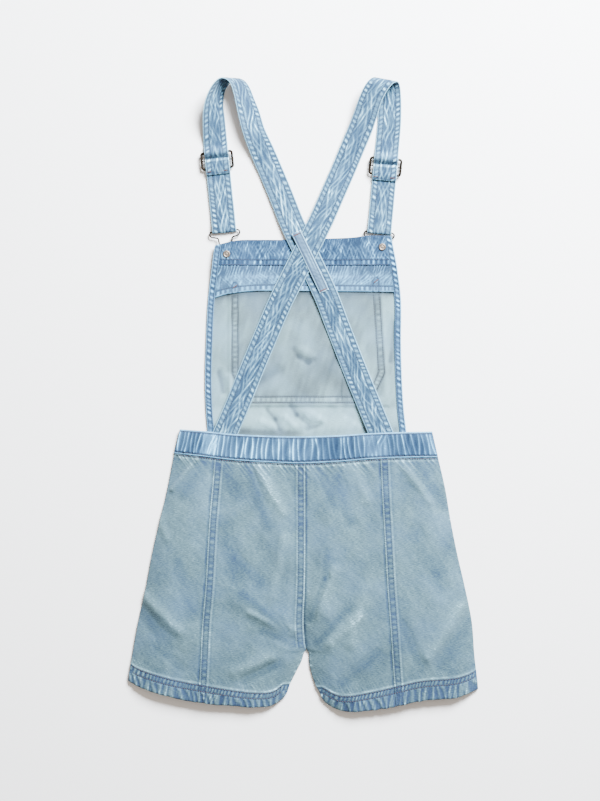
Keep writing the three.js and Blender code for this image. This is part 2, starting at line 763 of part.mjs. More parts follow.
function frontStations(stretch) {
  const { length, station } = frontFrame(stretch);
  const onFloor = [0.25, 0.5, 0.75, 1].map((t) => stretch.sliderAt + (length - stretch.sliderAt) * t);
  return [
    ...UNDER_SLIDER.map((row) => station(stretch.sliderAt - row.before, row.z)),
    ...onFloor.map((along) => station(along, FLOOR_LAYER_Z)),
  ];
}

function strap(name, route, loop, stretch, material) {
  const back = routeStations(route, 20, STRAP_WIDTH);
  const front = frontStations(stretch);
  const turn = loopStations(loop, back[back.length - 1], front[0], 22);
  return piece(name, ribbon([...back, ...turn, ...front], STRAP_CLOTH, 3), material);
}

// The return: round the hook's bar, up over the floor layer, round the slider's bar, and the sewn flap
function strapReturn(stretch, material) {
  const { length, station } = frontFrame(stretch);
  const barRadius = WIRE_RADIUS + SEAM_GAP + STRAP_CLOTH / 2 + 0.05;
  const hookZ = FLOOR_LAYER_Z + barRadius;
  const flapRadius = SLIDER.thickness / 2 + SEAM_GAP + STRAP_CLOTH / 2 + 0.2;
  const lowZ = FLOOR_LAYER_Z + STRAP_CLOTH + SEAM_GAP;
  const stations = [];
  for (const t of steps(8)) {
    const angle = Math.PI * (t - 0.5);
    const along = length + SEAM_GAP + barRadius * Math.cos(angle);
    stations.push(station(along, hookZ + barRadius * Math.sin(angle)));
  }
  const climb = [
    { beyond: length - stretch.sliderAt - 8, z: hookZ + barRadius - 0.4 },
    { beyond: length - stretch.sliderAt - 18, z: lowZ + 0.3 },
    { beyond: (length - stretch.sliderAt) * 0.6, z: lowZ },
    { beyond: 22, z: lowZ },
    { beyond: 8, z: lowZ },
  ];
  for (const row of climb) stations.push(station(stretch.sliderAt + row.beyond, row.z));
  for (const t of steps(8)) {
    const angle = -Math.PI / 2 - Math.PI * t;
    const along = stretch.sliderAt + flapRadius * Math.cos(angle);
    stations.push(station(along, SLIDER.centreZ + flapRadius * Math.sin(angle)));
  }
  const flapTop = SLIDER.centreZ + flapRadius;
  const flap = [
    { beyond: 8, z: flapTop },
    { beyond: 13.5, z: flapTop },
    { beyond: FLAP_LENGTH, z: lowZ + STRAP_CLOTH + SEAM_GAP + 0.1 },
  ];
  for (const row of flap) stations.push(station(stretch.sliderAt + row.beyond, row.z));
  return piece(`strap_${stretch.side}_return`, ribbon(stations, STRAP_CLOTH, 1), material);
}

// The keeper: the lower strap's middle line, moved up over the upper strap
function strapKeeper(material) {
  const middleX = through(STRAP_LEFT_ROUTE, 'y', 'x');
  const lowerZ = through(STRAP_LEFT_ROUTE, 'y', 'z');
  const heights = [
    { y: KEEPER.fromY, z: lowerZ(KEEPER.fromY) + KEEPER.endRise },
    { y: KEEPER.fromY + KEEPER.firstRise, z: lowerZ(KEEPER.fromY) + KEEPER.endRise + 1.2 },
    ...steps(4).map((t) => ({
      y: KEEPER.overFromY + (KEEPER.overToY - KEEPER.overFromY) * t,
      z: KEEPER.overZ,
    })),
    { y: KEEPER.toY, z: KEEPER.overZ - 0.3 },
  ];
  const stations = heights.map(({ y, z }) => {
    const slope = (middleX(y + 4) - middleX(y - 4)) / 8;
    const middle = new THREE.Vector3(middleX(y), y, z);
    return crossStation(middle, new THREE.Vector3(slope, 1, 0), KEEPER.width);
  });
  return piece('strap_keeper', ribbon(stations, KEEPER_CLOTH, 1), material);
}

// The slider: a frame with two slots, and the knobs of its middle bar at both sides
function slider(stretch, material) {
  const { from, direction } = frontFrame(stretch);
  const halfWidth = SLIDER.width / 2;
  const halfLength = SLIDER.length / 2;
  const r = SLIDER.corner;
  const outline = new THREE.Shape();
  outline.moveTo(-halfWidth + r, -halfLength);
  outline.lineTo(halfWidth - r, -halfLength);
  outline.quadraticCurveTo(halfWidth, -halfLength, halfWidth, -halfLength + r);
  outline.lineTo(halfWidth, -SLIDER.bar);
  outline.quadraticCurveTo(halfWidth + 2 * SLIDER.knob, 0, halfWidth, SLIDER.bar);
  outline.lineTo(halfWidth, halfLength - r);
  outline.quadraticCurveTo(halfWidth, halfLength, halfWidth - r, halfLength);
  outline.lineTo(-halfWidth + r, halfLength);
  outline.quadraticCurveTo(-halfWidth, halfLength, -halfWidth, halfLength - r);
  outline.lineTo(-halfWidth, SLIDER.bar);
  outline.quadraticCurveTo(-halfWidth - 2 * SLIDER.knob, 0, -halfWidth, -SLIDER.bar);
  outline.lineTo(-halfWidth, -halfLength + r);
  outline.quadraticCurveTo(-halfWidth, -halfLength, -halfWidth + r, -halfLength);
  const slotFrom = SLIDER.bar / 2;
  const slotTo = halfLength - SLIDER.bar;
  const slotHalf = halfWidth - SLIDER.bar;
  for (const sign of [-1, 1]) {
    const slot = new THREE.Path();
    slot.moveTo(-slotHalf, sign * slotFrom);
    slot.lineTo(slotHalf, sign * slotFrom);
    slot.lineTo(slotHalf, sign * slotTo);
    slot.lineTo(-slotHalf, sign * slotTo);
    slot.closePath();
    outline.holes.push(slot);
  }
  const geometry = new THREE.ExtrudeGeometry(outline, {
    depth: SLIDER.thickness,
    bevelEnabled: false,
    curveSegments: 3,
  });
  const mesh = piece(`slider_${stretch.side}`, geometry, material);
  const centre = from.clone().addScaledVector(direction, stretch.sliderAt);
  mesh.position.set(centre.x, centre.y, SLIDER.centreZ - SLIDER.thickness / 2);
  mesh.rotation.z = Math.atan2(direction.y, direction.x) + Math.PI / 2;
  return mesh;
}

// Half of the hook's wire, from the middle of its bar to the bottom of its eye, in the hook's own frame
const HOOK_HALF = [
  { across: 1, along: 0, z: 3.2 },
  { across: 10, along: 0, z: 3.2 },
  { across: 18.5, along: 0.2, z: 3.2 },
  { across: 21.6, along: -1.2, z: 3.3 },
  { across: 22.6, along: -4.2, z: 3.5 },
  { across: 20.4, along: -7.8, z: 3.8 },
  { across: 14.6, along: -9.4, z: 4.1 },
  { across: 10.6, along: -11.2, z: 4.3 },
  { across: 9.9, along: -15.5, z: 4.4 },
  { across: 8.6, along: -22, z: 4.4 },
  { across: 5.2, along: -29, z: 4.4 },
  { across: 4.4, along: -34, z: 4.4 },
  { across: 2.9, along: -37.3, z: 4.4 },
  { across: 0, along: -38.8, z: 4.4 },
];

// Past its shoulders the hook bends sideways to its button
function hook(stretch, button, material) {
  const { from, direction, length } = frontFrame(stretch);
  const origin = from.clone().addScaledVector(direction, length + SEAM_GAP);
  const toButton = new THREE.Vector3(button.x, button.y, 0).sub(origin);
  const right = new THREE.Vector3(-direction.y, direction.x, 0);
  const reach = toButton.dot(direction) + HOOK_PAST_BUTTON;
  const sideways = toButton.dot(right);
  const deepest = -HOOK_HALF[HOOK_HALF.length - 1].along;
  const place = (row, sign) => {
    const far = clamp((-row.along - HOOK_SHOULDER) / (deepest - HOOK_SHOULDER), 0, 1);
    const along = -row.along + (reach - deepest) * far;
    const across = sign * row.across + sideways * far;
    const point = origin.clone().addScaledVector(direction, along).addScaledVector(right, across);
    point.z = row.z;
    return point;
  };
  const oneSide = HOOK_HALF.map((row) => place(row, 1));
  const otherSide = HOOK_HALF.slice(0, -1).reverse().map((row) => place(row, -1));
  const path = new THREE.CatmullRomCurve3([...oneSide, ...otherSide], false, 'centripetal');
  const section = new THREE.Shape();
  section.absarc(0, 0, WIRE_RADIUS, 0, 2 * Math.PI, false);
  const options = { steps: HOOK_STEPS, curveSegments: 4, extrudePath: path };
  const geometry = new THREE.ExtrudeGeometry(section, options);
  return piece(`hook_${stretch.side}`, geometry, material);
}

// A round piece: its profile of radius and height, turned about an upright line
function turned(name, profile, place, z, material) {
  const points = profile.map(([r, h]) => new THREE.Vector2(r, h));
  const mesh = piece(name, new THREE.LatheGeometry(points, TURNED_STEPS), material);
  mesh.rotation.x = Math.PI / 2;
  mesh.position.set(place.x, place.y, z);
  return mesh;
}

function button(place, material) {
  const r = BUTTON_RADIUS;
  const h = BUTTON_HEIGHT;
  const profile = [[0, 0], [r - 0.8, 0], [r, 0.7], [r, h - 0.7], [r - 0.8, h], [2.6, h], [0, h]];
  return turned(`button_${place.side}`, profile, place, 0, material);
}

function rivet(place, material) {
  const r = RIVET_RADIUS;
  const h = RIVET_HEIGHT;
  const rim = [[r, 0.5], [r - 0.7, h - 0.2], [r - 1.6, h], [r - 2.4, h - 0.5]];
  const profile = [[0, 0], [r, 0], ...rim, [0, h - 0.4]];
  const onBand = BUTTON_LIFT + CLOTH + SEAM_GAP + BAND_CLOTH + SEAM_GAP;
  return turned(`rivet_${place.side}`, profile, place, onBand, material);
}

const dungarees = new THREE.Group();

for (const panel of LEG_PANELS) dungarees.add(backPanel(panel, cloth(COLOURS.legs)));
dungarees.add(frontLeg('front_leg_left', sideLeft, innerLeft, hemLeft, -120, cloth(COLOURS.legs)));
dungarees.add(frontLeg('front_leg_right', innerRight, sideRight, hemRight, 130, cloth(COLOURS.legs)));
dungarees.add(backWaistband(cloth(COLOURS.band)));
dungarees.add(frontWaistband(cloth(COLOURS.band)));

for (const layer of BIB_LAYERS) dungarees.add(bibLayer(layer, cloth(layer.colour)));
dungarees.add(bibPocket(cloth(COLOURS.legs)));

const [leftStretch, rightStretch] = FRONT_STRETCHES;
dungarees.add(strap('strap_left', STRAP_LEFT_ROUTE, LOOP_LEFT, leftStretch, cloth(COLOURS.straps)));
dungarees.add(strap('strap_right', STRAP_RIGHT_ROUTE, LOOP_RIGHT, rightStretch, cloth(COLOURS.straps)));
dungarees.add(strapKeeper(cloth(COLOURS.straps)));

FRONT_STRETCHES.forEach((stretch, i) => {
  dungarees.add(strapReturn(stretch, cloth(COLOURS.straps)));
  dungarees.add(slider(stretch, metal(COLOURS.steel)));
  dungarees.add(hook(stretch, BUTTONS[i], metal(COLOURS.steel)));
  dungarees.add(button(BUTTONS[i], metal(COLOURS.brass)));
  dungarees.add(rivet(BUTTONS[i], metal(COLOURS.brass)));
});

export default dungarees;
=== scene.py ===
"""Short-legged denim dungarees laid flat, with the back up and the bib seen from its inside.

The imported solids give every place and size. The cloth pieces are thin shells on the same forms, with gathers,
puckers, creases and stitching. Lengths are worked out in millimetres and written to the meshes in metres.
"""
import logging
import math
from dataclasses import dataclass, field
from enum import Enum
from typing import Callable, Sequence

import bpy
import numpy as np
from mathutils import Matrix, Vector


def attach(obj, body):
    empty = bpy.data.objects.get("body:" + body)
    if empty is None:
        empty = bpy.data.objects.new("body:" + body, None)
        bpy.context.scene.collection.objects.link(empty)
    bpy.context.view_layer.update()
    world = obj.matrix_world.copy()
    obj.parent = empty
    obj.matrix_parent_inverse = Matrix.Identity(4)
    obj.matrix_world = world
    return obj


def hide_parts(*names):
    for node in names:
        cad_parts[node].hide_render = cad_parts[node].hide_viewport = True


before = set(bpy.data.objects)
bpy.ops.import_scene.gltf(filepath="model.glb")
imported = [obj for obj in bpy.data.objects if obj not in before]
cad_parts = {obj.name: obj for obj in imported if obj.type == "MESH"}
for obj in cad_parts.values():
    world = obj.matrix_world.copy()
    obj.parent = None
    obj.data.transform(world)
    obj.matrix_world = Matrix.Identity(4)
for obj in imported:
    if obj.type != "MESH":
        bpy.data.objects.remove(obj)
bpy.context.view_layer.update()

Array = np.ndarray
Line = Callable[[Array], Array]
log = logging.getLogger("dungarees")

MM = 0.001
BODY = "root"
SEAM_GAP = 0.3
CLOTH = 1.2
LEG_CLOTH = 1.6
STRAP_CLOTH = 1.6
BAND_CLOTH = 1.6
STRAP_WIDTH = 36.0
WIRE_RADIUS = 1.0
CREASE_DEPTH = 1.7
WRINKLE_DEPTH = 1.4


class Held(Enum):
    """How a piece of cloth is held."""

    LAID = "laid"
    GATHERED = "gathered"
    FOLDED = "folded"


class Side(Enum):
    """The picture's two sides."""

    LEFT = "left"
    RIGHT = "right"


class Slot(Enum):
    """Names of the material slots."""

    LEGS = "washed_denim"
    BAND = "banded_denim"
    INSIDE = "denim_inside"
    FACING = "facing_denim"
    STRAPS = "strap_denim"
    STEEL = "antique_steel"
    BRASS = "aged_brass"


# Sums that the shapes share


def smooth(t: Array) -> Array:
    """An ease from 0 to 1: three times the square less twice the cube."""
    t = np.clip(t, 0, 1)
    return t * t * (3 - 2 * t)


def bell(distance: Array, width: float) -> Array:
    """A bell: e to the minus square of distance over width."""
    return np.exp(-((distance / width) ** 2))


def cubic(values: Array, slopes: Array, i: Array, t: Array, span: Array) -> Array:
    """Values on the cubic pieces between rows.

    Args:
        values: the rows' values.
        slopes: the slope at each row.
        i: the row that each place comes after.
        t: share of the way from that row to the next.
        span: distance between the two rows.
    """
    ease = smooth(t)
    pull = t * (1 - t) ** 2 * span * slopes[i] + t * t * (t - 1) * span * slopes[i + 1]
    return values[i] * (1 - ease) + values[i + 1] * ease + pull


def neighbours(count: int) -> tuple[Array, Array]:
    """The row before and the row after each of count rows, kept inside the table."""
    rows = np.arange(count)
    return np.maximum(rows - 1, 0), np.minimum(rows + 1, count - 1)


def table_line(rows: Sequence[object], key: str, column: str) -> Line:
    """A smooth line through one column of a table.

    Between two rows it is a cubic whose slope at each row is that between the row's two neighbours.

    Args:
        rows: the table's rows, in any order.
        key: the column that the line is read by.
        column: the column that it gives.
    Returns:
        A function from an array of key values to the column's values.
    """
    pairs = sorted((getattr(row, key), getattr(row, column)) for row in rows)
    keys = np.array([pair[0] for pair in pairs], float)
    values = np.array([pair[1] for pair in pairs], float)
    last = len(keys) - 1
    before, after = neighbours(last + 1)
    slopes = (values[after] - values[before]) / (keys[after] - keys[before])

    def line(at: Array) -> Array:
        """The column's value at each key value."""
        i = np.clip(np.searchsorted(keys, at) - 1, 0, last - 1)
        span = keys[i + 1] - keys[i]
        return cubic(values, slopes, i, np.clip((at - keys[i]) / span, 0, 1), span)

    return line


def smooth_path(points: Array, count: int, guide: Array | None = None) -> Array:
    """A smooth path through points, at even steps of length.

    Cubic pieces join the points. The slope at a point is that between its two neighbours, over the length
    along the guide.

    Args:
        points: the points, one row each.
        count: how many points the path gets.
        guide: the points whose spacing sets the pace, or None for the points themselves.
    Returns:
        The path's points.
    """
    pace = points if guide is None else guide
    at = np.concatenate([[0], np.cumsum(np.linalg.norm(np.diff(pace, axis=0), axis=1))])
    last = len(at) - 1
    before, after = neighbours(last + 1)
    slopes = (points[after] - points[before]) / (at[after] - at[before])[:, None]
    s = np.linspace(0, at[-1], count)
    i = np.clip(np.searchsorted(at, s) - 1, 0, last - 1)
    span = (at[i + 1] - at[i])[:, None]
    t = ((s - at[i]) / (at[i + 1] - at[i]))[:, None]
    return cubic(points, slopes, i, t, span)


@dataclass(frozen=True)
class Unevenness:
    """Smooth unevenness: random heights at the corners of unit squares, eased between the corners."""

    seed: int
    size: int = 97

    def __call__(self, x: Array, y: Array) -> Array:
        """The height from -1 to 1 at each point.

        Args:
            x: the first coordinate, in squares.
            y: the second coordinate, in squares.
        """
        corners = np.random.default_rng(self.seed).uniform(-1, 1, (self.size, self.size))
        column, row = np.floor(x).astype(int), np.floor(y).astype(int)
        tx, ty = smooth(x - column), smooth(y - row)
        c0, c1 = column % self.size, (column + 1) % self.size
        r0, r1 = row % self.size, (row + 1) % self.size
        low = corners[c0, r0] * (1 - tx) + corners[c1, r0] * tx
        high = corners[c0, r1] * (1 - tx) + corners[c1, r1] * tx
        return low * (1 - ty) + high * ty


def streaks(x: Array, y: Array, seed: int, across: float, along: float, slant: float = 0.0) -> Array:
    """Long soft streaks: unevenness drawn out along one direction.

    Args:
        x: across, in mm.
        y: along, in mm.
        seed: which streaks.
        across: the streaks' width in mm.
        along: their length in mm.
        slant: how far x runs for each mm of y.
    Returns:
        A height from -1 to 1.
    """
    return Unevenness(seed)((x - slant * y) / across, y / along)


def veins(x: Array, y: Array, seed: int, across: float, along: float, slant: float = 0.0) -> Array:
    """Thin broken ridges side by side, from 0 between them to 1 on the strongest.

    The upper part of a cosine whose lines sway, times an unevenness that lets each ridge fade in and out.

    Args:
        x: across, in mm.
        y: along, in mm.
        seed: which ridges.
        across: how far apart they lie in mm.
        along: how far they run before they fade, in mm.
        slant: how far x runs for each mm of y.
    """
    place = (x - slant * y) / across
    sway = Unevenness(seed)(place / 2.3, y / (1.2 * along))
    strength = 0.62 + 0.75 * Unevenness(seed + 300)(place, y / along)
    return smooth((np.cos(2 * np.pi * (place + 0.55 * sway)) + 0.1) / 1.1) * np.clip(strength, 0, 1)


def ladder(along: Array, pitch: float, seed: int) -> Array:
    """Puckers between two rows of stitches, from -1 in the valleys to 1 on the ridges.

    A cosine of the length along the seam whose pace and height wander a little.
    """
    wander = Unevenness(seed)(along / (pitch * 3.1), along * 0)
    height = 0.68 + 0.5 * Unevenness(seed + 1)(along / (pitch * 1.3), along * 0)
    return np.tanh(1.6 * np.cos(2 * np.pi * along / pitch + 3.4 * wander)) * height


def to_path(x: Array, y: Array, points: Sequence[tuple[float, float]]) -> tuple[Array, Array]:
    """The distance from each place to an open path of straight pieces, and the length along it there.

    Args:
        x: the places' first coordinate in mm.
        y: their second.
        points: the path's corners.
    """
    nearest = np.full(x.shape, 1e9)
    along = np.zeros(x.shape)
    start = 0.0
    for (x1, y1), (x2, y2) in zip(points[:-1], points[1:]):
        length = math.hypot(x2 - x1, y2 - y1)
        t = np.clip(((x - x1) * (x2 - x1) + (y - y1) * (y2 - y1)) / length**2, 0, 1)
        away = np.hypot(x - x1 - t * (x2 - x1), y - y1 - t * (y2 - y1))
        along = np.where(away < nearest, start + t * length, along)
        nearest = np.minimum(nearest, away)
        start += length
    return nearest, along


def between(left: Line, right: Line, bottom: Line, top: Line, u: Array, v: Array) -> tuple[Array, Array]:
    """Plan points of a patch between four lines.

    u runs from the left line to the right one and v from the bottom line to the top one. A point is found by
    taking its x from its y and its y from its x by turns, half way each time.

    Args:
        left: x of the left line at a y.
        right: x of the right line at a y.
        bottom: y of the bottom line at an x.
        top: y of the top line at an x.
        u: share of the way across, 0 to 1.
        v: share of the way up, 0 to 1.
    Returns:
        The points' x and y.
    """
    middle = float(np.mean((left(np.array([-200.0])) + right(np.array([-200.0]))) / 2))
    x = np.full(u.shape, middle)
    y = bottom(x) * (1 - v) + top(x) * v
    for _ in range(24):
        x = (x + left(y) * (1 - u) + right(y) * u) / 2
        y = (y + bottom(x) * (1 - v) + top(x) * v) / 2
    return x, y


def square_grid(columns: int, rows: int) -> tuple[Array, Array]:
    """Two arrays of shares from 0 to 1, one for each way of a grid."""
    return np.meshgrid(np.linspace(0, 1, columns), np.linspace(0, 1, rows), indexing="ij")


# Meshes


def linear(hex_colour: str) -> tuple[float, float, float, float]:
    """An sRGB hex colour as linear red, green, blue and 1."""
    parts = [int(hex_colour[i : i + 2], 16) / 255 for i in (1, 3, 5)]
    return tuple(c / 12.92 if c <= 0.04045 else ((c + 0.055) / 1.055) ** 2.4 for c in parts) + (1.0,)


def new_mesh(name: str, points: Array, faces: Array,
             materials: Sequence[bpy.types.Material]) -> bpy.types.Object:
    """A mesh object with its place in its mesh.

    Args:
        name: the piece's name.
        points: the points in mm, one row each.
        faces: the faces' point numbers, one row of three or four each.
        materials: the object's materials.
    Returns:
        The object, with smooth faces that point outwards.
    """
    faces = outward(points, faces)
    mesh = bpy.data.meshes.new(name)
    mesh.vertices.add(len(points))
    mesh.vertices.foreach_set("co", (points * MM).astype(np.float32).ravel())
    sides = faces.shape[1]
    mesh.loops.add(len(faces) * sides)
    mesh.loops.foreach_set("vertex_index", faces.astype(np.int32).ravel())
    mesh.polygons.add(len(faces))
    mesh.polygons.foreach_set("loop_start", np.arange(0, len(faces) * sides, sides, dtype=np.int32))
    mesh.polygons.foreach_set("use_smooth", np.ones(len(faces), bool))
    mesh.update(calc_edges=True)
    for material in materials:
        mesh.materials.append(material)
    made = bpy.data.objects.new(name, mesh)
    bpy.context.scene.collection.objects.link(made)
    return made


def set_values(piece: bpy.types.Object, name: str, values: Array) -> None:
    """Keeps one number for each point of a piece, for its material to read."""
    attribute = piece.data.attributes.new(name, "FLOAT", "POINT")
    attribute.data.foreach_set("value", values.astype(np.float32).ravel())


def set_cloth_map(piece: bpy.types.Object, across: Array, along: Array) -> None:
    """Keeps each point's place on the flat cloth, in mm, as the piece's UV map."""
    layer = piece.data.uv_layers.new(name="cloth")
    index = np.zeros(len(piece.data.loops), np.int32)
    piece.data.loops.foreach_get("vertex_index", index)
    place = np.stack([across.ravel()[index], along.ravel()[index]], axis=1)
    layer.data.foreach_set("uv", place.astype(np.float32).ravel())


def grid_faces(columns: int, rows: int, start: int = 0) -> Array:
    """The four-sided faces of a grid whose points are numbered down each column, from start."""
    i, j = np.meshgrid(np.arange(columns - 1), np.arange(rows - 1), indexing="ij")
    a = (start + i * rows + j).ravel()
    return np.stack([a, a + rows, a + rows + 1, a + 1], axis=1)


def rim_numbers(columns: int, rows: int) -> Array:
    """The point numbers round a grid's rim, once round."""
    near = np.arange(columns) * rows
    right = (columns - 1) * rows + np.arange(1, rows)
    far = (np.arange(columns - 1) * rows + rows - 1)[::-1]
    left = np.arange(1, rows - 1)[::-1]
    return np.concatenate([near, right, far, left])


@dataclass
class Shell:
    """A thin wall of cloth between an outer and an inner grid of points, closed round its rim.

    Args:
        name: the piece's name.
        outer: the outer points in mm, columns by rows by three.
        inner: the inner points.
        wear_and_shade: fade of the outer cloth, from -1 in a blue valley to 1 on a white ridge; on the bib and
            the back legs it also holds painted shade and painted highlight.
        across: place on the flat cloth in mm, one way.
        along: place on the flat cloth in mm, the other way.
        inner_wear: fade of the inner cloth, or None for the outer one's.
    """

    name: str
    outer: Array
    inner: Array
    wear_and_shade: Array
    across: Array
    along: Array
    inner_wear: Array | None = None

    def build(self, outside: bpy.types.Material, inside: bpy.types.Material) -> bpy.types.Object:
        """The shell as a closed mesh: outer grid, inner grid turned over, and a rim between them.

        Args:
            outside: the material of the outer grid and the rim.
            inside: the material of the inner grid.
        """
        columns, rows = self.wear_and_shade.shape
        count = columns * rows
        points = np.concatenate([self.outer.reshape(-1, 3), self.inner.reshape(-1, 3)])
        top = grid_faces(columns, rows)
        under = grid_faces(columns, rows, count)[:, ::-1]
        rim = rim_numbers(columns, rows)
        next_rim = np.roll(rim, -1)
        edge = np.stack([rim, rim + count, next_rim + count, next_rim], axis=1)
        piece = new_mesh(self.name, points, np.concatenate([top, edge, under]), [outside, inside])
        numbers = np.zeros(len(piece.data.polygons), np.int32)
        numbers[len(top) + len(edge) :] = 1
        piece.data.polygons.foreach_set("material_index", numbers)
        back = self.wear_and_shade if self.inner_wear is None else self.inner_wear
        set_values(piece, "wear_and_shade", np.concatenate([self.wear_and_shade.ravel(), back.ravel()]))
        set_cloth_map(
            piece,
            np.concatenate([self.across.ravel(), self.across.ravel()]),
            np.concatenate([self.along.ravel(), self.along.ravel()]),
        )
        return piece


def stacked(x: Array, y: Array, z: Array) -> Array:
    """Three arrays of one shape as points."""
    return np.stack([x, y, z + np.zeros_like(x)], axis=-1)


def outward(points: Array, faces: Array) -> Array:
    """The faces, turned over where the closed form that they make is inside out."""
    a, b, c = (points[faces[:, k]] for k in range(3))
    volume = np.sum(a * np.cross(b, c))
    if faces.shape[1] == 4:
        volume += np.sum(a * np.cross(c, points[faces[:, 3]]))
    return faces[:, ::-1] if volume < 0 else faces


def section(heading: Array, sides: int) -> Array:
    """Round sections along a path: cosine along the level side plus sine square to it and the path."""
    heading = heading / np.linalg.norm(heading, axis=1)[:, None]
    level = np.cross(heading, [0, 0, 1.0])
    level /= np.linalg.norm(level, axis=1)[:, None]
    upward = np.cross(level, heading)
    angle = np.linspace(0, 2 * np.pi, sides, endpoint=False)
    return np.cos(angle)[None, :, None] * level[:, None] + np.sin(angle)[None, :, None] * upward[:, None]


def tube_walls(rings: int, sides: int, closed: bool) -> Array:
    """The triangles between rings of points, and from the last ring to the first where it is closed."""
    i, j = np.meshgrid(np.arange(rings if closed else rings - 1), np.arange(sides), indexing="ij")
    onward, beside = (i + 1) % rings, (j + 1) % sides
    corners = ((i, j), (i, beside), (onward, beside), (onward, j))
    a, b, c, d = ((ring * sides + side).ravel() for ring, side in corners)
    return np.concatenate([np.stack([a, b, c], axis=1), np.stack([a, c, d], axis=1)])


def wire(path: Array, radius: Array, sides: int) -> tuple[Array, Array]:
    """Points and triangles of a round wire along a path that never runs straight up, closed at both ends.

    Args:
        path: the middle line's points in mm.
        radius: the wire's radius at each point.
        sides: points in a ring.
    """
    rings = section(np.gradient(path, axis=0), sides)
    points = (path[:, None] + rings * radius[:, None, None]).reshape(-1, 3)
    start, end, last = len(points), len(points) + 1, (len(path) - 1) * sides
    around, following = np.arange(sides), (np.arange(sides) + 1) % sides
    first_cap = np.stack([following, around, np.full(sides, start)], axis=1)
    last_cap = np.stack([last + around, last + following, np.full(sides, end)], axis=1)
    points = np.concatenate([points, path[:1], path[-1:]])
    return points, np.concatenate([tube_walls(len(path), sides, False), first_cap, last_cap])


def ring(path: Array, radius: float, sides: int) -> tuple[Array, Array]:
    """Points and triangles of a round wire along a closed path."""
    heading = np.roll(path, -1, axis=0) - np.roll(path, 1, axis=0)
    points = (path[:, None] + section(heading, sides) * radius).reshape(-1, 3)
    return points, tube_walls(len(path), sides, True)


def joined(name: str, parts: Sequence[tuple[Array, Array]], material: bpy.types.Material) -> bpy.types.Object:
    """Closed forms, each turned outwards, as one piece."""
    points, faces, start = [], [], 0
    for own_points, own_faces in parts:
        points.append(own_points)
        faces.append(outward(own_points, own_faces) + start)
        start += len(own_points)
    return new_mesh(name, np.concatenate(points), np.concatenate(faces), [material])


def turned(name: str, profile: Array, middle: tuple[float, float, float], steps: int,
           material: bpy.types.Material) -> bpy.types.Object:
    """A round piece: a profile of radius and height turned about an upright line.

    Args:
        name: the piece's name.
        profile: rows of radius and height in mm, from the axis round to the axis.
        middle: where its axis stands, and the height of its underside.
        steps: points round it.
        material: its material.
    """
    inner = profile[1:-1]
    angle = np.linspace(0, 2 * np.pi, steps, endpoint=False)
    x = middle[0] + inner[:, :1] * np.cos(angle)
    y = middle[1] + inner[:, :1] * np.sin(angle)
    z = middle[2] + inner[:, 1:] + 0 * x
    points = stacked(x, y, z).reshape(-1, 3)
    i, j = np.meshgrid(np.arange(len(inner) - 1), np.arange(steps), indexing="ij")
    a, b = (i * steps + j).ravel(), (i * steps + (j + 1) % steps).ravel()
    walls = np.concatenate([np.stack([a, b, b + steps], axis=1), np.stack([a, b + steps, a + steps], axis=1)])
    around, following = np.arange(steps), (np.arange(steps) + 1) % steps
    last = (len(inner) - 1) * steps
    low = np.stack([following, around, np.full(steps, len(points))], axis=1)
    high = np.stack([last + around, last + following, np.full(steps, len(points) + 1)], axis=1)
    ends = [[middle[0], middle[1], middle[2] + profile[k, 1]] for k in (0, -1)]
    return new_mesh(name, np.concatenate([points, ends]), np.concatenate([walls, low, high]), [material])


# Finishes


def add_node(tree: bpy.types.NodeTree, kind: str, settings: dict | None = None,
             inputs: dict | None = None) -> bpy.types.Node:
    """Adds one node.

    Args:
        tree: the material's node tree.
        kind: the node's type name.
        settings: the node's properties.
        inputs: a value, or another node's output, for each input by name or number.
    """
    made = tree.nodes.new(kind)
    for name, value in (settings or {}).items():
        setattr(made, name, value)
    for name, value in (inputs or {}).items():
        if isinstance(value, bpy.types.NodeSocket):
            tree.links.new(value, made.inputs[name])
        else:
            made.inputs[name].default_value = value
    return made


def blank_material(name: str) -> tuple[bpy.types.Material, bpy.types.NodeTree, bpy.types.Node]:
    """A material with only its shader and output, its node tree, and the shader."""
    material = bpy.data.materials.new(name)
    material.use_nodes = True
    tree = material.node_tree
    tree.nodes.clear()
    shader = add_node(tree, "ShaderNodeBsdfPrincipled")
    add_node(tree, "ShaderNodeOutputMaterial", inputs={"Surface": shader.outputs["BSDF"]})
    return material, tree, shader


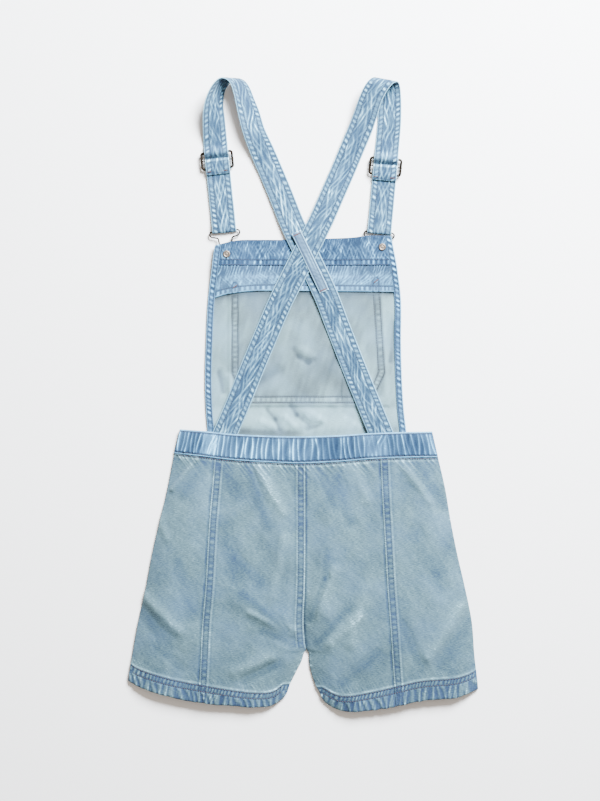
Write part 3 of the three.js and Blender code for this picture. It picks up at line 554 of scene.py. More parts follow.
@dataclass(frozen=True)
class Denim:
    """Washed cotton twill: matt and softly mottled, blue in its valleys and nearly white on its worn ridges.

    The twill's slanting rows, under a millimetre apart, are too fine to show, so they are drawn as soft
    slanting streaks a few millimetres long, as they gather in the photograph.

    Args:
        name: the material's name.
        stops: hex colours from the deepest valley to the most worn ridge.
        streak: how strongly the slanting streaks show.
        mottle: how strongly the broad patches show.
        grain: how strongly the grain of about a millimetre shows.
        tint: the colour that broad patches lean to.
        tint_share: how far they lean.
        bump: how strongly streaks and grain lift the surface.
    """

    name: str
    stops: tuple[str, str, str, str, str]
    streak: float = 0.44
    mottle: float = 0.12
    grain: float = 0.14
    tint: str = "#47688a"
    tint_share: float = 0.16
    bump: float = 0.7

    def material(self) -> bpy.types.Material:
        """Fade plus streaks, mottling and grain picks a colour from the stops and lifts the surface. The fade
        attribute also holds painted shade and painted highlight on the bib and the back legs.
        """
        material, tree, shader = blank_material(self.name)
        # The cloth's fade attribute: worn fade, with painted shade and painted highlight on some pieces.
        wear_and_shade = add_node(tree, "ShaderNodeAttribute", {"attribute_name": "wear_and_shade"})
        place = add_node(tree, "ShaderNodeUVMap", {"uv_map": "cloth"}).outputs[0]
        slanted = add_node(tree, "ShaderNodeMapping", inputs={
            "Vector": place, "Rotation": (0, 0, math.radians(-42)), "Scale": (1 / 4.4, 1 / 1.2, 1)})
        twill = add_node(tree, "ShaderNodeTexNoise", inputs={
            "Vector": slanted.outputs[0], "Scale": 1.0, "Detail": 3.0, "Roughness": 0.6})
        patches = add_node(tree, "ShaderNodeTexNoise", inputs={
            "Vector": place, "Scale": 1 / 26, "Detail": 3.0, "Roughness": 0.55})
        leaning = add_node(tree, "ShaderNodeTexNoise", inputs={
            "Vector": place, "Scale": 1 / 55, "Detail": 2.0, "Roughness": 0.5})
        grain = add_node(tree, "ShaderNodeTexNoise", inputs={
            "Vector": place, "Scale": 1 / 1.1, "Detail": 1.0})
        fade = add_node(tree, "ShaderNodeMath", {"operation": "MULTIPLY_ADD"}, {
            0: wear_and_shade.outputs["Fac"], 1: 0.5, 2: 0.5 - (self.streak + self.mottle + self.grain) / 2}).outputs[0]
        for source, share in ((twill, self.streak), (patches, self.mottle), (grain, self.grain)):
            spread = add_node(tree, "ShaderNodeMapRange", inputs={
                "Value": source.outputs["Fac"], "From Min": 0.3, "From Max": 0.7})
            fade = add_node(tree, "ShaderNodeMath", {"operation": "MULTIPLY_ADD"}, {
                0: spread.outputs[0], 1: share, 2: fade}).outputs[0]
        ramp = add_node(tree, "ShaderNodeValToRGB", inputs={"Fac": fade})
        places = (0.0, 0.27, 0.5, 0.75, 1.0)
        elements = ramp.color_ramp.elements
        while len(elements) < len(places):
            elements.new(0.5)
        for element, at, colour in zip(elements, places, self.stops):
            element.position = at
            element.color = linear(colour)
        share = add_node(tree, "ShaderNodeMapRange", inputs={
            "Value": leaning.outputs["Fac"], "From Min": 0.42, "From Max": 0.68, "To Max": self.tint_share})
        leant = add_node(tree, "ShaderNodeMix", {"data_type": "RGBA"}, {
            "Factor": share.outputs[0], 6: ramp.outputs["Color"], 7: linear(self.tint)})
        tree.links.new(leant.outputs[2], shader.inputs["Base Color"])
        height = add_node(tree, "ShaderNodeMath", {"operation": "MULTIPLY_ADD"}, {
            0: grain.outputs["Fac"], 1: 0.4, 2: twill.outputs["Fac"]})
        bump = add_node(tree, "ShaderNodeBump", inputs={
            "Height": height.outputs[0], "Strength": self.bump, "Distance": 0.5 * MM})
        tree.links.new(bump.outputs[0], shader.inputs["Normal"])
        shader.inputs["Roughness"].default_value = 0.92
        shader.inputs["Specular IOR Level"].default_value = 0.2
        shader.inputs["Sheen Weight"].default_value = 0.12
        shader.inputs["Sheen Roughness"].default_value = 0.5
        return material


@dataclass(frozen=True)
class Thread:
    """Spun polyester sewing thread: a soft matt colour, a little lighter and darker along the row."""

    name: str
    colour: str
    dark: str

    def material(self) -> bpy.types.Material:
        """Noise a few millimetres wide turns one colour to the other."""
        material, tree, shader = blank_material(self.name)
        place = add_node(tree, "ShaderNodeTexCoord").outputs["Object"]
        noise = add_node(tree, "ShaderNodeTexNoise", inputs={
            "Vector": place, "Scale": 1 / (4 * MM), "Detail": 1.0})
        mixed = add_node(tree, "ShaderNodeMix", {"data_type": "RGBA"}, {
            "Factor": noise.outputs["Fac"], 6: linear(self.dark), 7: linear(self.colour)})
        tree.links.new(mixed.outputs[2], shader.inputs["Base Color"])
        shader.inputs["Roughness"].default_value = 0.7
        return material


@dataclass(frozen=True)
class AgedMetal:
    """Cast or drawn metal with an antique wash: bright where hands rub it, dark and duller in between."""

    name: str
    bright: str
    dark: str
    roughness: float
    patch_mm: float

    def material(self) -> bpy.types.Material:
        """Noise of the patch size mixes the two colours and roughens the dark ones."""
        material, tree, shader = blank_material(self.name)
        place = add_node(tree, "ShaderNodeTexCoord").outputs["Object"]
        noise = add_node(tree, "ShaderNodeTexNoise", inputs={
            "Vector": place, "Scale": 1 / (self.patch_mm * MM), "Detail": 3.0})
        mixed = add_node(tree, "ShaderNodeMix", {"data_type": "RGBA"}, {
            "Factor": noise.outputs["Fac"], 6: linear(self.dark), 7: linear(self.bright)})
        rough = add_node(tree, "ShaderNodeMapRange", inputs={
            "Value": noise.outputs["Fac"], "To Min": self.roughness + 0.15, "To Max": self.roughness})
        tree.links.new(mixed.outputs[2], shader.inputs["Base Color"])
        tree.links.new(rough.outputs[0], shader.inputs["Roughness"])
        shader.inputs["Metallic"].default_value = 1.0
        return material


@dataclass(frozen=True)
class PaleSweep:
    """Matt painted studio table: an even pale ground with the faintest unevenness."""

    name: str = "matt_painted_table"

    def material(self) -> bpy.types.Material:
        """Two near greys mixed by noise a hand wide."""
        material, tree, shader = blank_material(self.name)
        place = add_node(tree, "ShaderNodeTexCoord").outputs["Object"]
        noise = add_node(tree, "ShaderNodeTexNoise", inputs={"Vector": place, "Scale": 8.0})
        mixed = add_node(tree, "ShaderNodeMix", {"data_type": "RGBA"}, {
            "Factor": noise.outputs["Fac"], 6: linear("#e6e6e6"), 7: linear("#e8e8e8")})
        tree.links.new(mixed.outputs[2], shader.inputs["Base Color"])
        shader.inputs["Roughness"].default_value = 0.95
        shader.inputs["Specular IOR Level"].default_value = 0.1
        return material


@dataclass
class Workroom:
    """Every finish of the garment, made once."""

    legs: bpy.types.Material = field(default_factory=lambda: Denim(
        "stone_washed_twill", ("#182944", "#2b424f", "#3e565f", "#4f6a72", "#8ab4c2")).material())
    band: bpy.types.Material = field(default_factory=lambda: Denim(
        "puckered_washed_twill", ("#0b233b", "#1e3a53", "#2e4d67", "#437191", "#82cdf4"),
        streak=0.14, mottle=0.1, tint_share=0.1).material())
    inside: bpy.types.Material = field(default_factory=lambda: Denim(
        "weft_side_of_washed_twill", ("#2e3a40", "#48595f", "#607a80", "#739299", "#acd9ea"),
        streak=0.06, mottle=0.1, tint="#5c7c94", tint_share=0.25).material())
    facing: bpy.types.Material = field(default_factory=lambda: Denim(
        "light_blue_twill", ("#20384f", "#334f67", "#446e8b", "#528fb2", "#8fd3f4"),
        streak=0.1, mottle=0.1, tint_share=0.1).material())
    straps: bpy.types.Material = field(default_factory=lambda: Denim(
        "stitched_strap_twill", ("#162e44", "#2a465b", "#3d5f74", "#598499", "#a3d6e8"),
        streak=0.1, mottle=0.08, tint_share=0.1).material())
    keeper: bpy.types.Material = field(default_factory=lambda: Denim(
        "grey_washed_twill", ("#1e344a", "#364b5f", "#456177", "#5b7e92", "#9ac8e0"),
        streak=0.06, mottle=0.06, tint_share=0.1).material())
    thread: bpy.types.Material = field(default_factory=lambda: Thread(
        "violet_brown_thread", "#2c222e", "#1a101d").material())
    blue_thread: bpy.types.Material = field(default_factory=lambda: Thread(
        "slate_blue_thread", "#2e3d4f", "#1c2738").material())
    tack_thread: bpy.types.Material = field(default_factory=lambda: Thread(
        "rust_brown_thread", "#5e3226", "#401f17").material())
    steel: bpy.types.Material = field(default_factory=lambda: AgedMetal(
        "antiqued_steel_wire", "#2c2721", "#0b0908", 0.45, 3.0).material())
    brass: bpy.types.Material = field(default_factory=lambda: AgedMetal(
        "aged_brass", "#82786e", "#524a43", 0.45, 2.5).material())


# Sewing


@dataclass
class Stitches:
    """Rows of machine stitches on the cloth, gathered into one piece.

    Each stitch is a spindle of diamond section: two rings a quarter of its length from either end, and two
    tips that dip into the cloth.
    """

    name: str
    length: float = 2.8
    gap: float = 0.8
    radius: float = 0.42
    starts: list[Array] = field(default_factory=list)
    ends: list[Array] = field(default_factory=list)
    ups: list[Array] = field(default_factory=list)

    def row(self, path: Array, ups: Array | None = None) -> None:
        """Adds a row along a path.

        Args:
            path: the row's points in mm, on the cloth.
            ups: the direction out of the cloth at each point, or None for straight up.
        """
        at = np.concatenate([[0], np.cumsum(np.linalg.norm(np.diff(path, axis=0), axis=1))])
        pitch = self.length + self.gap
        count = int((at[-1] - self.gap) / pitch)
        if count < 1:
            return
        start = (at[-1] - count * pitch + self.gap) / 2 + np.arange(count) * pitch
        place = lambda s: np.stack([np.interp(s, at, path[:, k]) for k in range(3)], axis=1)
        self.starts.append(place(start))
        self.ends.append(place(start + self.length))
        up = np.tile([0.0, 0.0, 1.0], (len(path), 1)) if ups is None else ups
        middle = start + self.length / 2
        self.ups.append(np.stack([np.interp(middle, at, up[:, k]) for k in range(3)], axis=1))

    def build(self, material: bpy.types.Material) -> bpy.types.Object:
        """All the stitches as one mesh."""
        start, end, up = (np.concatenate(parts) for parts in (self.starts, self.ends, self.ups))
        heading = end - start
        side = np.cross(up, heading)
        side *= self.radius / np.linalg.norm(side, axis=1)[:, None]
        lift = up * self.radius * 0.75
        around = (side, lift, -side, -lift)
        rings = [start + heading * share + part for share in (0.22, 0.78) for part in around]
        tips = [start - lift, end - lift]
        points = np.stack(rings + tips, axis=1).reshape(-1, 3)
        k = np.arange(4)
        n = (k + 1) % 4
        walls = np.concatenate([np.stack([k, n, n + 4], axis=1), np.stack([k, n + 4, k + 4], axis=1)])
        first_cap = np.stack([n, k, 0 * k + 8], axis=1)
        last_cap = np.stack([k + 4, n + 4, 0 * k + 9], axis=1)
        caps = np.concatenate([first_cap, last_cap])
        one = np.concatenate([walls, caps])
        faces = (one[None] + 10 * np.arange(len(start))[:, None, None]).reshape(-1, 3)
        log.info("%s: %d stitches", self.name, len(start))
        return new_mesh(self.name, points, faces, [material])


def seat(piece: bpy.types.Object, slot: Slot, *nodes: str) -> bpy.types.Object:
    """Puts a finished piece on the body and lets it stand for its solids."""
    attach(piece, BODY)
    if nodes:
        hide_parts(*nodes)
    triangles = sum(len(polygon.vertices) - 2 for polygon in piece.data.polygons)
    log.info("%s: %d triangles", piece.name, triangles)
    return piece


# Legs and waist


@dataclass(frozen=True)
class LegSection:
    """The seam lines across both legs at one height, and how high the back cloth stands."""

    y: float
    side_left: float
    panel_left: float
    panel_right: float
    side_right: float
    height: float


@dataclass(frozen=True)
class InnerSection:
    """The two legs' inner edges at one height."""

    y: float
    left: float
    right: float


@dataclass(frozen=True)
class Place:
    """A point of a line on the garment."""

    x: float
    y: float


@dataclass(frozen=True)
class Fold:
    """A soft ridge, or a trough where its height is negative, from one end to the other."""

    x1: float
    y1: float
    x2: float
    y2: float
    width: float
    height: float


@dataclass(frozen=True)
class WaistSection:
    """The waistband's upper and lower edge at a share of the way along it."""

    share: float
    top_x: float
    top_y: float
    bottom_x: float
    bottom_y: float


@dataclass(frozen=True)
class HemRows:
    """How far above the hem's edge its two rows of stitches run, at one place across."""

    x: float
    upper: float
    lower: float


LEG_SECTIONS = (
    LegSection(-80, -191.5, -131.5, 114.5, 199, 5.6),
    LegSection(-140, -203, -136.5, 117, 213, 8.5),
    LegSection(-190, -215, -140.7, 119.7, 221.5, 11),
    LegSection(-240, -226.5, -143.5, 122.6, 231.5, 12.5),
    LegSection(-290, -236, -146.4, 125.3, 243, 13.5),
    LegSection(-340, -247, -150.8, 129, 253, 13.5),
    LegSection(-390, -256, -153.3, 132.5, 257, 12),
    LegSection(-430, -262.5, -155.5, 135.5, 261.5, 9.5),
    LegSection(-480, -268, -158, 139.5, 266, 8),
)
INNER_SECTIONS = (
    InnerSection(-80, 3.5, 3.5),
    InnerSection(-240, 3.8, 3.8),
    InnerSection(-290, 3.0, 3.0),
    InnerSection(-340, 1.2, 1.2),
    InnerSection(-372, 3.2, 3.2),
    InnerSection(-382, 4.6, 5.4),
    InnerSection(-387, 1.5, 8.8),
    InnerSection(-398, -1.5, 9.0),
    InnerSection(-410, -7.5, 10.5),
    InnerSection(-434, -19.5, 18.0),
    InnerSection(-446, -23.5, 24.5),
    InnerSection(-458, -31.5, 30.0),
    InnerSection(-476, -42, 44),
)
HEM_LEFT = (
    Place(-264, -427),
    Place(-247.5, -437),
    Place(-199.5, -452),
    Place(-151.5, -461),
    Place(-103.5, -466),
    Place(-62, -467.5),
    Place(-43.5, -464.5),
    Place(-30, -455),
)
HEM_RIGHT = (
    Place(30, -460),
    Place(46.5, -469.5),
    Place(60, -473.3),
    Place(82.5, -474),
    Place(130.5, -468),
    Place(178.5, -458),
    Place(226.5, -453.5),
    Place(244.5, -449),
    Place(264, -440),
)
HEM_ROWS = (
    HemRows(-262, 26, 17),
    HemRows(-155, 26, 17.5),
    HemRows(-85, 21.6, 13.6),
    HemRows(-40, 20, 12.5),
    HemRows(50, 21, 13.5),
    HemRows(90, 25, 17),
    HemRows(142, 29, 20.5),
    HemRows(262, 28, 20.5),
)
WAIST_SECTIONS = (
    WaistSection(0.0, -184.5, -52, -193.5, -88.5),
    WaistSection(0.125, -145, -55, -152, -93),
    WaistSection(0.25, -106, -59, -111, -98),
    WaistSection(0.375, -57, -61.5, -58, -101.5),
    WaistSection(0.5, -6, -62.5, -6, -103.5),
    WaistSection(0.625, 51, -61, 54, -101),
    WaistSection(0.75, 97.5, -58, 102, -97),
    WaistSection(0.875, 145.5, -56.3, 152, -95),
    WaistSection(1.0, 193.5, -55.5, 202.5, -94.5),
)
BROAD_FOLDS = (
    Fold(-72, -128, -20, -248, 22, 3.5),
    Fold(63, -128, 30, -230, 20, 3),
    Fold(-94, -308, -27, -346, 18, 4),
    Fold(44, -178, 26, -323, 16, 3),
    Fold(-159, -105, -186, -139, 12, 2.5),
    Fold(160, -115, 204, -190, 18, 3),
    Fold(-229, -308, -165, -368, 22, 3),
    Fold(185, -308, 85, -398, 24, 3.5),
)
CREASES = (
    Fold(-159, -96, -196, -142, 3.5, 1.5),
    Fold(-150, -100, -178, -150, 9, -1.4),
    Fold(-118, -104, -96, -150, 11, -1.8),
    Fold(-84, -108, -52, -196, 8, -2.2),
    Fold(-66, -112, -30, -176, 7, 1.6),
    Fold(-24, -112, -10, -150, 6, -1.3),
    Fold(-228, -150, -205, -215, 7, 1.0),
    Fold(-185, -250, -165, -330, 10, -1.6),
    Fold(-240, -300, -186, -352, 8, 1.6),
    Fold(-244, -325, -200, -372, 10, -1.5),
    Fold(-218, -376, -180, -410, 6, -1.1),
    Fold(-122, -196, -100, -270, 11, -1.5),
    Fold(-100, -246, -64, -282, 9, -1.8),
    Fold(-26, -350, -92, -296, 7, -2.4),
    Fold(-14, -372, -60, -352, 6, -1.9),
    Fold(-12, -352, -78, -326, 6, 1.3),
    Fold(-48, -392, -104, -414, 9, 1.6),
    Fold(-36, -402, -88, -428, 7, -1.4),
    Fold(-28, -215, -46, -300, 8, 1.4),
    Fold(10, -336, 34, -274, 5, -2.3),
    Fold(34, -274, 37, -236, 5, -1.5),
    Fold(18, -318, 48, -262, 8, 1.2),
    Fold(22, -370, 66, -322, 6, -2.2),
    Fold(40, -372, 84, -330, 8, 1.4),
    Fold(26, -112, 48, -166, 8, -1.5),
    Fold(52, -124, 70, -190, 8, -2.0),
    Fold(76, -112, 96, -158, 8, 1.2),
    Fold(92, -290, 70, -372, 9, 1.3),
    Fold(110, -388, 58, -434, 7, -1.4),
    Fold(148, -104, 190, -160, 6, 1.3),
    Fold(174, -104, 212, -168, 9, -1.6),
    Fold(166, -206, 206, -288, 11, -1.5),
    Fold(238, -316, 188, -392, 8, 1.5),
    Fold(248, -340, 206, -406, 9, -1.3),
    Fold(148, -342, 178, -412, 7, -1.1),
    Fold(230, -196, 204, -266, 9, -1.2),
)


def fold_relief(folds: Sequence[Fold], x: Array, y: Array) -> Array:
    """The folds' height at each place: a bell of the distance from each fold's middle line."""
    height = np.zeros(x.shape)
    for fold in folds:
        away, _ = to_path(x, y, ((fold.x1, fold.y1), (fold.x2, fold.y2)))
        height += fold.height * bell(away, fold.width)
    return height


def rounding(distance: Array, reach: float, power: float = 2.2) -> Array:
    """A rounded shoulder: 1 less the power of what is left of the reach."""
    return 1 - (1 - np.clip(distance / reach, 0, 1)) ** power


def spaced(start: float, end: float, fine: float, middle: int) -> tuple[Array, Array]:
    """Columns that keep a real width at both ends of a stretch.

    A column lies at its share of the whole stretch plus its offset in mm.

    Args:
        start: width of the fine part at the start, in mm.
        end: width of the fine part at the end.
        fine: distance of the columns in the fine parts.
        middle: number of columns between them.
    Returns:
        Shares and offsets.
    """
    shares, offsets = [], []
    if start:
        steps = np.linspace(0, 1, int(start / fine) + 1)[:-1]
        shares.append(0 * steps)
        offsets.append(start * steps)
    steps = np.linspace(0, 1, middle)
    shares.append(steps)
    offsets.append(start - (start + end) * steps)
    if end:
        steps = np.linspace(0, 1, int(end / fine) + 1)[1:]
        shares.append(1 + 0 * steps)
        offsets.append(end * (steps - 1))
    return np.concatenate(shares), np.concatenate(offsets)


@dataclass
class WaistLines:
    """The waistband's edges and its gathers, which the legs below it take up."""

    gathers: int = 53
    wander: float = 0.16
    length: float = 392.0
    height: float = 39.0
    flat_from_to: tuple[tuple[float, float], ...] = ((0.115, 0.19), (0.735, 0.82))

    def __post_init__(self) -> None:
        """Draws the edge lines and picks each gather's place, lean, bend and strength."""
        self.top_y = table_line(WAIST_SECTIONS, "top_x", "top_y")
        self.bottom_y = table_line(WAIST_SECTIONS, "bottom_x", "bottom_y")
        self.top_x_at = table_line(WAIST_SECTIONS, "share", "top_x")
        self.bottom_x_at = table_line(WAIST_SECTIONS, "share", "bottom_x")
        self.top_y_at = table_line(WAIST_SECTIONS, "share", "top_y")
        self.share_at = table_line(WAIST_SECTIONS, "bottom_x", "share")
        odd = np.arange(1, 2 * self.gathers, 2)
        draw = np.random.default_rng(11)
        self.places = (odd + self.wander * np.sin(odd * 2.1)) / (2 * self.gathers) * self.length
        self.leans = draw.uniform(-4.0, 4.0, self.gathers)
        self.bends = draw.uniform(-2.0, 2.0, self.gathers)
        self.widths = draw.uniform(1.05, 1.75, self.gathers)
        self.strengths = draw.uniform(0.5, 1.0, self.gathers)

    def flatness(self, share: Array) -> Array:
        """1 where the straps are sewn in and the band hardly gathers, 0 elsewhere."""
        flat = np.zeros(share.shape)
        for start, end in self.flat_from_to:
            inside = smooth((share - start + 0.01) / 0.02) * smooth((end + 0.01 - share) / 0.02)
            flat = np.maximum(flat, inside)
        return flat

    def gathered(self, share: Array, up: Array) -> Array:
        """How high the gathers stand, 0 in the valleys to 1 on the ridges.

        The greatest of the ridges' bells, each leaning and bending a little on its way up.

        Args:
            share: share of the way along the band.
            up: share of the way up it, below 0 on the legs.
        """
        along = share * self.length
        highest = np.zeros(share.shape)
        for place, lean, bend, width, strength in zip(
            self.places, self.leans, self.bends, self.widths, self.strengths
        ):
            middle = place + lean * (up - 0.5) + bend * np.sin(np.pi * np.clip(up, 0, 1))
            away = along - middle
            ridge = np.maximum(bell(away, width), 0.52 * bell(away, 2.3 * width))
            highest = np.maximum(highest, strength * ridge)
        return highest * (1 - 0.7 * self.flatness(share))


@dataclass(frozen=True)
class LegPanel:
    """One back panel: its seams, where it is felled, and the cut that a maker lays out."""

    name: str
    start: Line
    end: Line
    hem: Line
    middle_columns: int
    fell_start: bool
    fell_end: bool
    cut_width: float
    cut_length: float
    cut_area: float


@dataclass
class Legs:
    """The short legs: four domed back panels, felled seams, stitched hems, and the flat front panels."""

    room: Workroom
    waist: WaistLines
    rim_height: float = LEG_CLOTH + SEAM_GAP
    side_rounding: float = 60.0
    inseam_rounding: float = 50.0
    crotch_y: float = -383.0
    seat_closes_from: float = -290.0
    folds_start: float = -95.0
    folds_full_below: float = 40.0
    fell_width: float = 14.0
    fell_rise: float = 0.9
    hem_rise: float = 1.2
    hem_lip: float = 4.0
    fine_step: float = 1.05
    hem_zone: float = 36.0
    waist_zone: float = 26.0

    def __post_init__(self) -> None:
        """Draws the outline curves."""
        self.side_left = table_line(LEG_SECTIONS, "y", "side_left")
        self.side_right = table_line(LEG_SECTIONS, "y", "side_right")
        self.panel_left = table_line(LEG_SECTIONS, "y", "panel_left")
        self.panel_right = table_line(LEG_SECTIONS, "y", "panel_right")
        self.dome = table_line(LEG_SECTIONS, "y", "height")
        self.inner_left = table_line(INNER_SECTIONS, "y", "left")
        self.inner_right = table_line(INNER_SECTIONS, "y", "right")
        self.hem_left = table_line(HEM_LEFT, "x", "y")
        self.hem_right = table_line(HEM_RIGHT, "x", "y")
        self.upper_row = table_line(HEM_ROWS, "x", "upper")
        self.lower_row = table_line(HEM_ROWS, "x", "lower")
        self.panels = (
            LegPanel("back_leg_left_side", self.side_left, self.panel_left, self.hem_left,
                     52, False, False, 118, 410, 37000),
            LegPanel("back_leg_left_centre", self.panel_left, self.inner_left, self.hem_left,
                     84, True, True, 175, 440, 62000),
            LegPanel("back_leg_right_centre", self.inner_right, self.panel_right, self.hem_right,
                     84, False, False, 150, 440, 52000),
            LegPanel("back_leg_right_side", self.panel_right, self.side_right, self.hem_right,
                     70, True, False, 150, 420, 48000),
        )

    def hem(self, x: Array) -> Array:
        """The hem's lower edge, of whichever leg the place is on."""
        return np.where(x < 5, self.hem_left(x), self.hem_right(x))

    def underside(self, x: Array, y: Array) -> Array:
        """Height of the back cloth's underside.

        The rim plus the dome and broad folds, rounded down to the sides and, below the seat, the inseams.
        """
        outer = rounding(np.minimum(x - self.side_left(y), self.side_right(y) - x), self.side_rounding)
        on_left = x < (self.inner_left(y) + self.inner_right(y)) / 2
        inward = np.where(on_left, self.inner_left(y) - x, x - self.inner_right(y))
        closing = smooth((self.seat_closes_from - y) / (self.seat_closes_from - self.crotch_y))
        inner = 1 - closing * (1 - rounding(inward, self.inseam_rounding))
        fade = smooth((self.folds_start - y) / self.folds_full_below)
        return self.rim_height + (self.dome(y) + fold_relief(BROAD_FOLDS, x, y) * fade) * outer * inner

    def felled(self, d: Array, y: Array, seed: int) -> tuple[Array, Array]:
        """Rise and fade across a felled seam.

        From outside in: a blue groove, a pale edge, a dark row, a ladder of puckers, a dark row, a pale edge.

        Args:
            d: distance into the band from its seam line, in mm.
            y: height on the leg, the length along the seam.
            seed: which puckers.
        """
        inside = smooth((d + 0.4) / 1.2) * smooth((self.fell_width + 0.6 - d) / 1.4)
        steps = ladder(y, 8.2, seed) * smooth((d - 3.2) / 1.4) * smooth((10.6 - d) / 1.4)
        uneven = 0.75 + 0.4 * Unevenness(seed + 5)(y / 13, y * 0)
        wear_and_shade = -0.95 * bell(d + 1.3, 1.3) * uneven + 0.6 * bell(d - 1.4, 1.1)
        wear_and_shade += -0.8 * bell(d - 3.4, 0.9) - 0.7 * bell(d - 10.6, 0.9) + 0.42 * bell(d - 12.8, 1.2)
        wear_and_shade += (0.45 * steps - 0.36) * smooth((d - 3.2) / 1.2) * smooth((10.8 - d) / 1.2)
        wear_and_shade -= 0.25 * bell(d - 15.6, 1.2)
        rise = inside * self.fell_rise + 0.28 * steps - 0.35 * bell(d + 1.0, 1.2)
        rise -= 0.25 * (bell(d - 3.2, 0.9) + bell(d - 10.6, 0.9))
        return rise, wear_and_shade

    def hemmed(self, x: Array, y: Array) -> tuple[Array, Array]:
        """Rise and fade over the hem: pale lip, two dark rows with a ladder between, puckers below."""
        h = y - self.hem(x)
        upper, lower = self.upper_row(x), self.lower_row(x)
        across = x - 0.35 * h
        steps = ladder(across, 5.5, 31)
        zone = smooth((h - lower) / 1.6) * smooth((upper - h) / 1.6)
        below = smooth((lower - 0.8 - h) / 1.5)
        sway = Unevenness(37)((x + 0.1 * h) / 13, h / 26)
        broad = np.tanh(1.3 * np.cos(2 * np.pi * (x + 0.1 * h) / 9.6 + 4.0 * sway) + 1.3 * sway)
        wear_and_shade = 0.55 * bell(h - upper - 3.2, 1.6) * (0.75 + 0.5 * Unevenness(38)(x / 7, h * 0))
        wear_and_shade += -1.1 * bell(h - upper, 1.1) - 1.1 * bell(h - lower, 1.1)
        lines = veins(x, h, 40, 4.4, 13, 0.2)
        wear_and_shade += zone * (0.95 * steps - 0.45) + below * (0.7 * broad + 0.8 * lines - 0.62) + 0.3 * bell(h, 1.6)
        wisps = veins(x, y, 39, 4.5, 16, -0.55)
        wear_and_shade += 0.6 * (wisps - 0.25) * bell(h - upper - 11, 8)
        rise = self.hem_rise * smooth((upper + self.hem_lip - h) / 2.2) + 0.35 * bell(h - upper - 3, 2.4)
        rise += zone * 0.45 * steps + below * (0.6 * broad + 0.3 * lines)
        rise += 0.35 * wisps * bell(h - upper - 11, 8) - 0.5 * (bell(h - upper, 1.0) + bell(h - lower, 1.0))
        rise -= 0.8 * (1 - smooth(h / 2.2))
        near = smooth((upper + 24 - h) / 8)
        return rise, wear_and_shade * near

    def gathered(self, x: Array, y: Array) -> tuple[Array, Array]:
        """Rise and fade just below the waistband: a stitched row, a pale edge and short slanting creases, worn
        pale on their ridges and darkened with painted shade in their valleys.
        """
        down = self.waist.bottom_y(x) - y
        share = self.waist.share_at(x - 0.85 * down)
        creases = self.waist.gathered(share, np.full(x.shape, -0.05))
        length = 9 + 7 * Unevenness(41)(x / 7, x * 0)
        strength = np.exp(-np.maximum(down, 0) / length)
        wear_and_shade = -0.8 * bell(down - 1.5, 0.9) + 0.55 * bell(down - 4.4, 1.5) * (0.6 + 0.6 * creases)
        # Crease colour: worn pale on the ridges, painted shade in the valleys between them.
        wear_and_shade += (3.0 * creases - 1.2) * strength * smooth((down - 3) / 3)
        rise = (2.6 * creases - 0.9) * strength - 0.3 * bell(down - 1.5, 1.0)
        return rise, np.clip(wear_and_shade, -1, 1) * smooth((60 - down) / 20)

    def surface(self, x: Array, y: Array) -> tuple[Array, Array]:
        """The outer height of the back cloth and its fade, with the creases' troughs darker and their ridges
        lighter: partly worn fade, partly painted shade and painted highlight.
        """
        creases = CREASE_DEPTH * fold_relief(CREASES, x, y)
        rise = CLOTH + creases
        rise += 0.22 * streaks(x, y, 51, 13, 21, -0.6) + 0.14 * streaks(x, y, 52, 3.4, 5.5, -0.8)
        rise += 0.5 * Unevenness(54)(x / 31, y / 40)
        wear_and_shade = 0.14 * streaks(x, y, 52, 3.4, 5.5, -0.8) + 0.07 * streaks(x, y, 51, 13, 21, -0.6)
        # Creases: troughs painted darker and ridges lighter, partly worn fade and partly painted shade and
        # painted highlight.
        wear_and_shade += 0.16 * Unevenness(53)(x / 37, y / 46) + 0.12 * creases
        above_crotch = smooth((y - self.crotch_y - 2) / 4)
        for d, seed, on in (
            (x - self.panel_left(y), 61, 1.0),
            (self.inner_left(y) - x, 64, above_crotch),
            (x - self.panel_right(y), 67, 1.0),
        ):
            seam_rise, seam_wear = self.felled(d, y, seed)
            near = smooth((d + 6) / 3) * smooth((22 - d) / 4) * on
            rise += seam_rise * near
            wear_and_shade += seam_wear * near
        away = np.where(x < 5, self.inner_left(y) - x, x - self.inner_right(y))
        inseam = bell(away - 1.5, 2.2) * (1 - above_crotch)
        wear_and_shade += inseam * (0.55 * ladder(y, 9, 71) + 0.1)
        edge = np.minimum(x - self.side_left(y), self.side_right(y) - x)
        wear_and_shade += 0.3 * bell(edge - 1.0, 1.8) * ladder(y, 11, 73)
        for part_rise, part_wear_and_shade in (self.hemmed(x, y), self.gathered(x, y)):
            rise += part_rise
            wear_and_shade += part_wear_and_shade
        return self.underside(x, y) + np.maximum(rise, 0.5), np.clip(wear_and_shade, -1, 1)

    def plan(self, panel: LegPanel) -> tuple[Array, Array]:
        """Plan points of a back panel, close together along felled seams, the hem and the waist."""
        across = spaced(self.fell_width + 4 if panel.fell_start else 6.0,
                        self.fell_width + 4 if panel.fell_end else 6.0, self.fine_step, panel.middle_columns)
        up = spaced(self.hem_zone, self.waist_zone, self.fine_step + 0.1, 150)
        u, v = np.meshgrid(across[0], up[0], indexing="ij")
        inset = SEAM_GAP / 2
        offset_x, offset_y = np.meshgrid(across[1], up[1], indexing="ij")
        middle = float(np.mean(panel.start(np.array([-270.0])) + panel.end(np.array([-270.0])))) / 2
        x = np.full(u.shape, middle)
        top = lambda at: self.waist.bottom_y(at) - inset
        y = panel.hem(x) * (1 - v) + top(x) * v
        for _ in range(24):
            start, end = panel.start(y) + inset, panel.end(y) - inset
            x = (x + start * (1 - u) + end * u + offset_x) / 2
            hem = panel.hem(x)
            y = (y + hem * (1 - v) + top(x) * v + offset_y) / 2
        return x, y

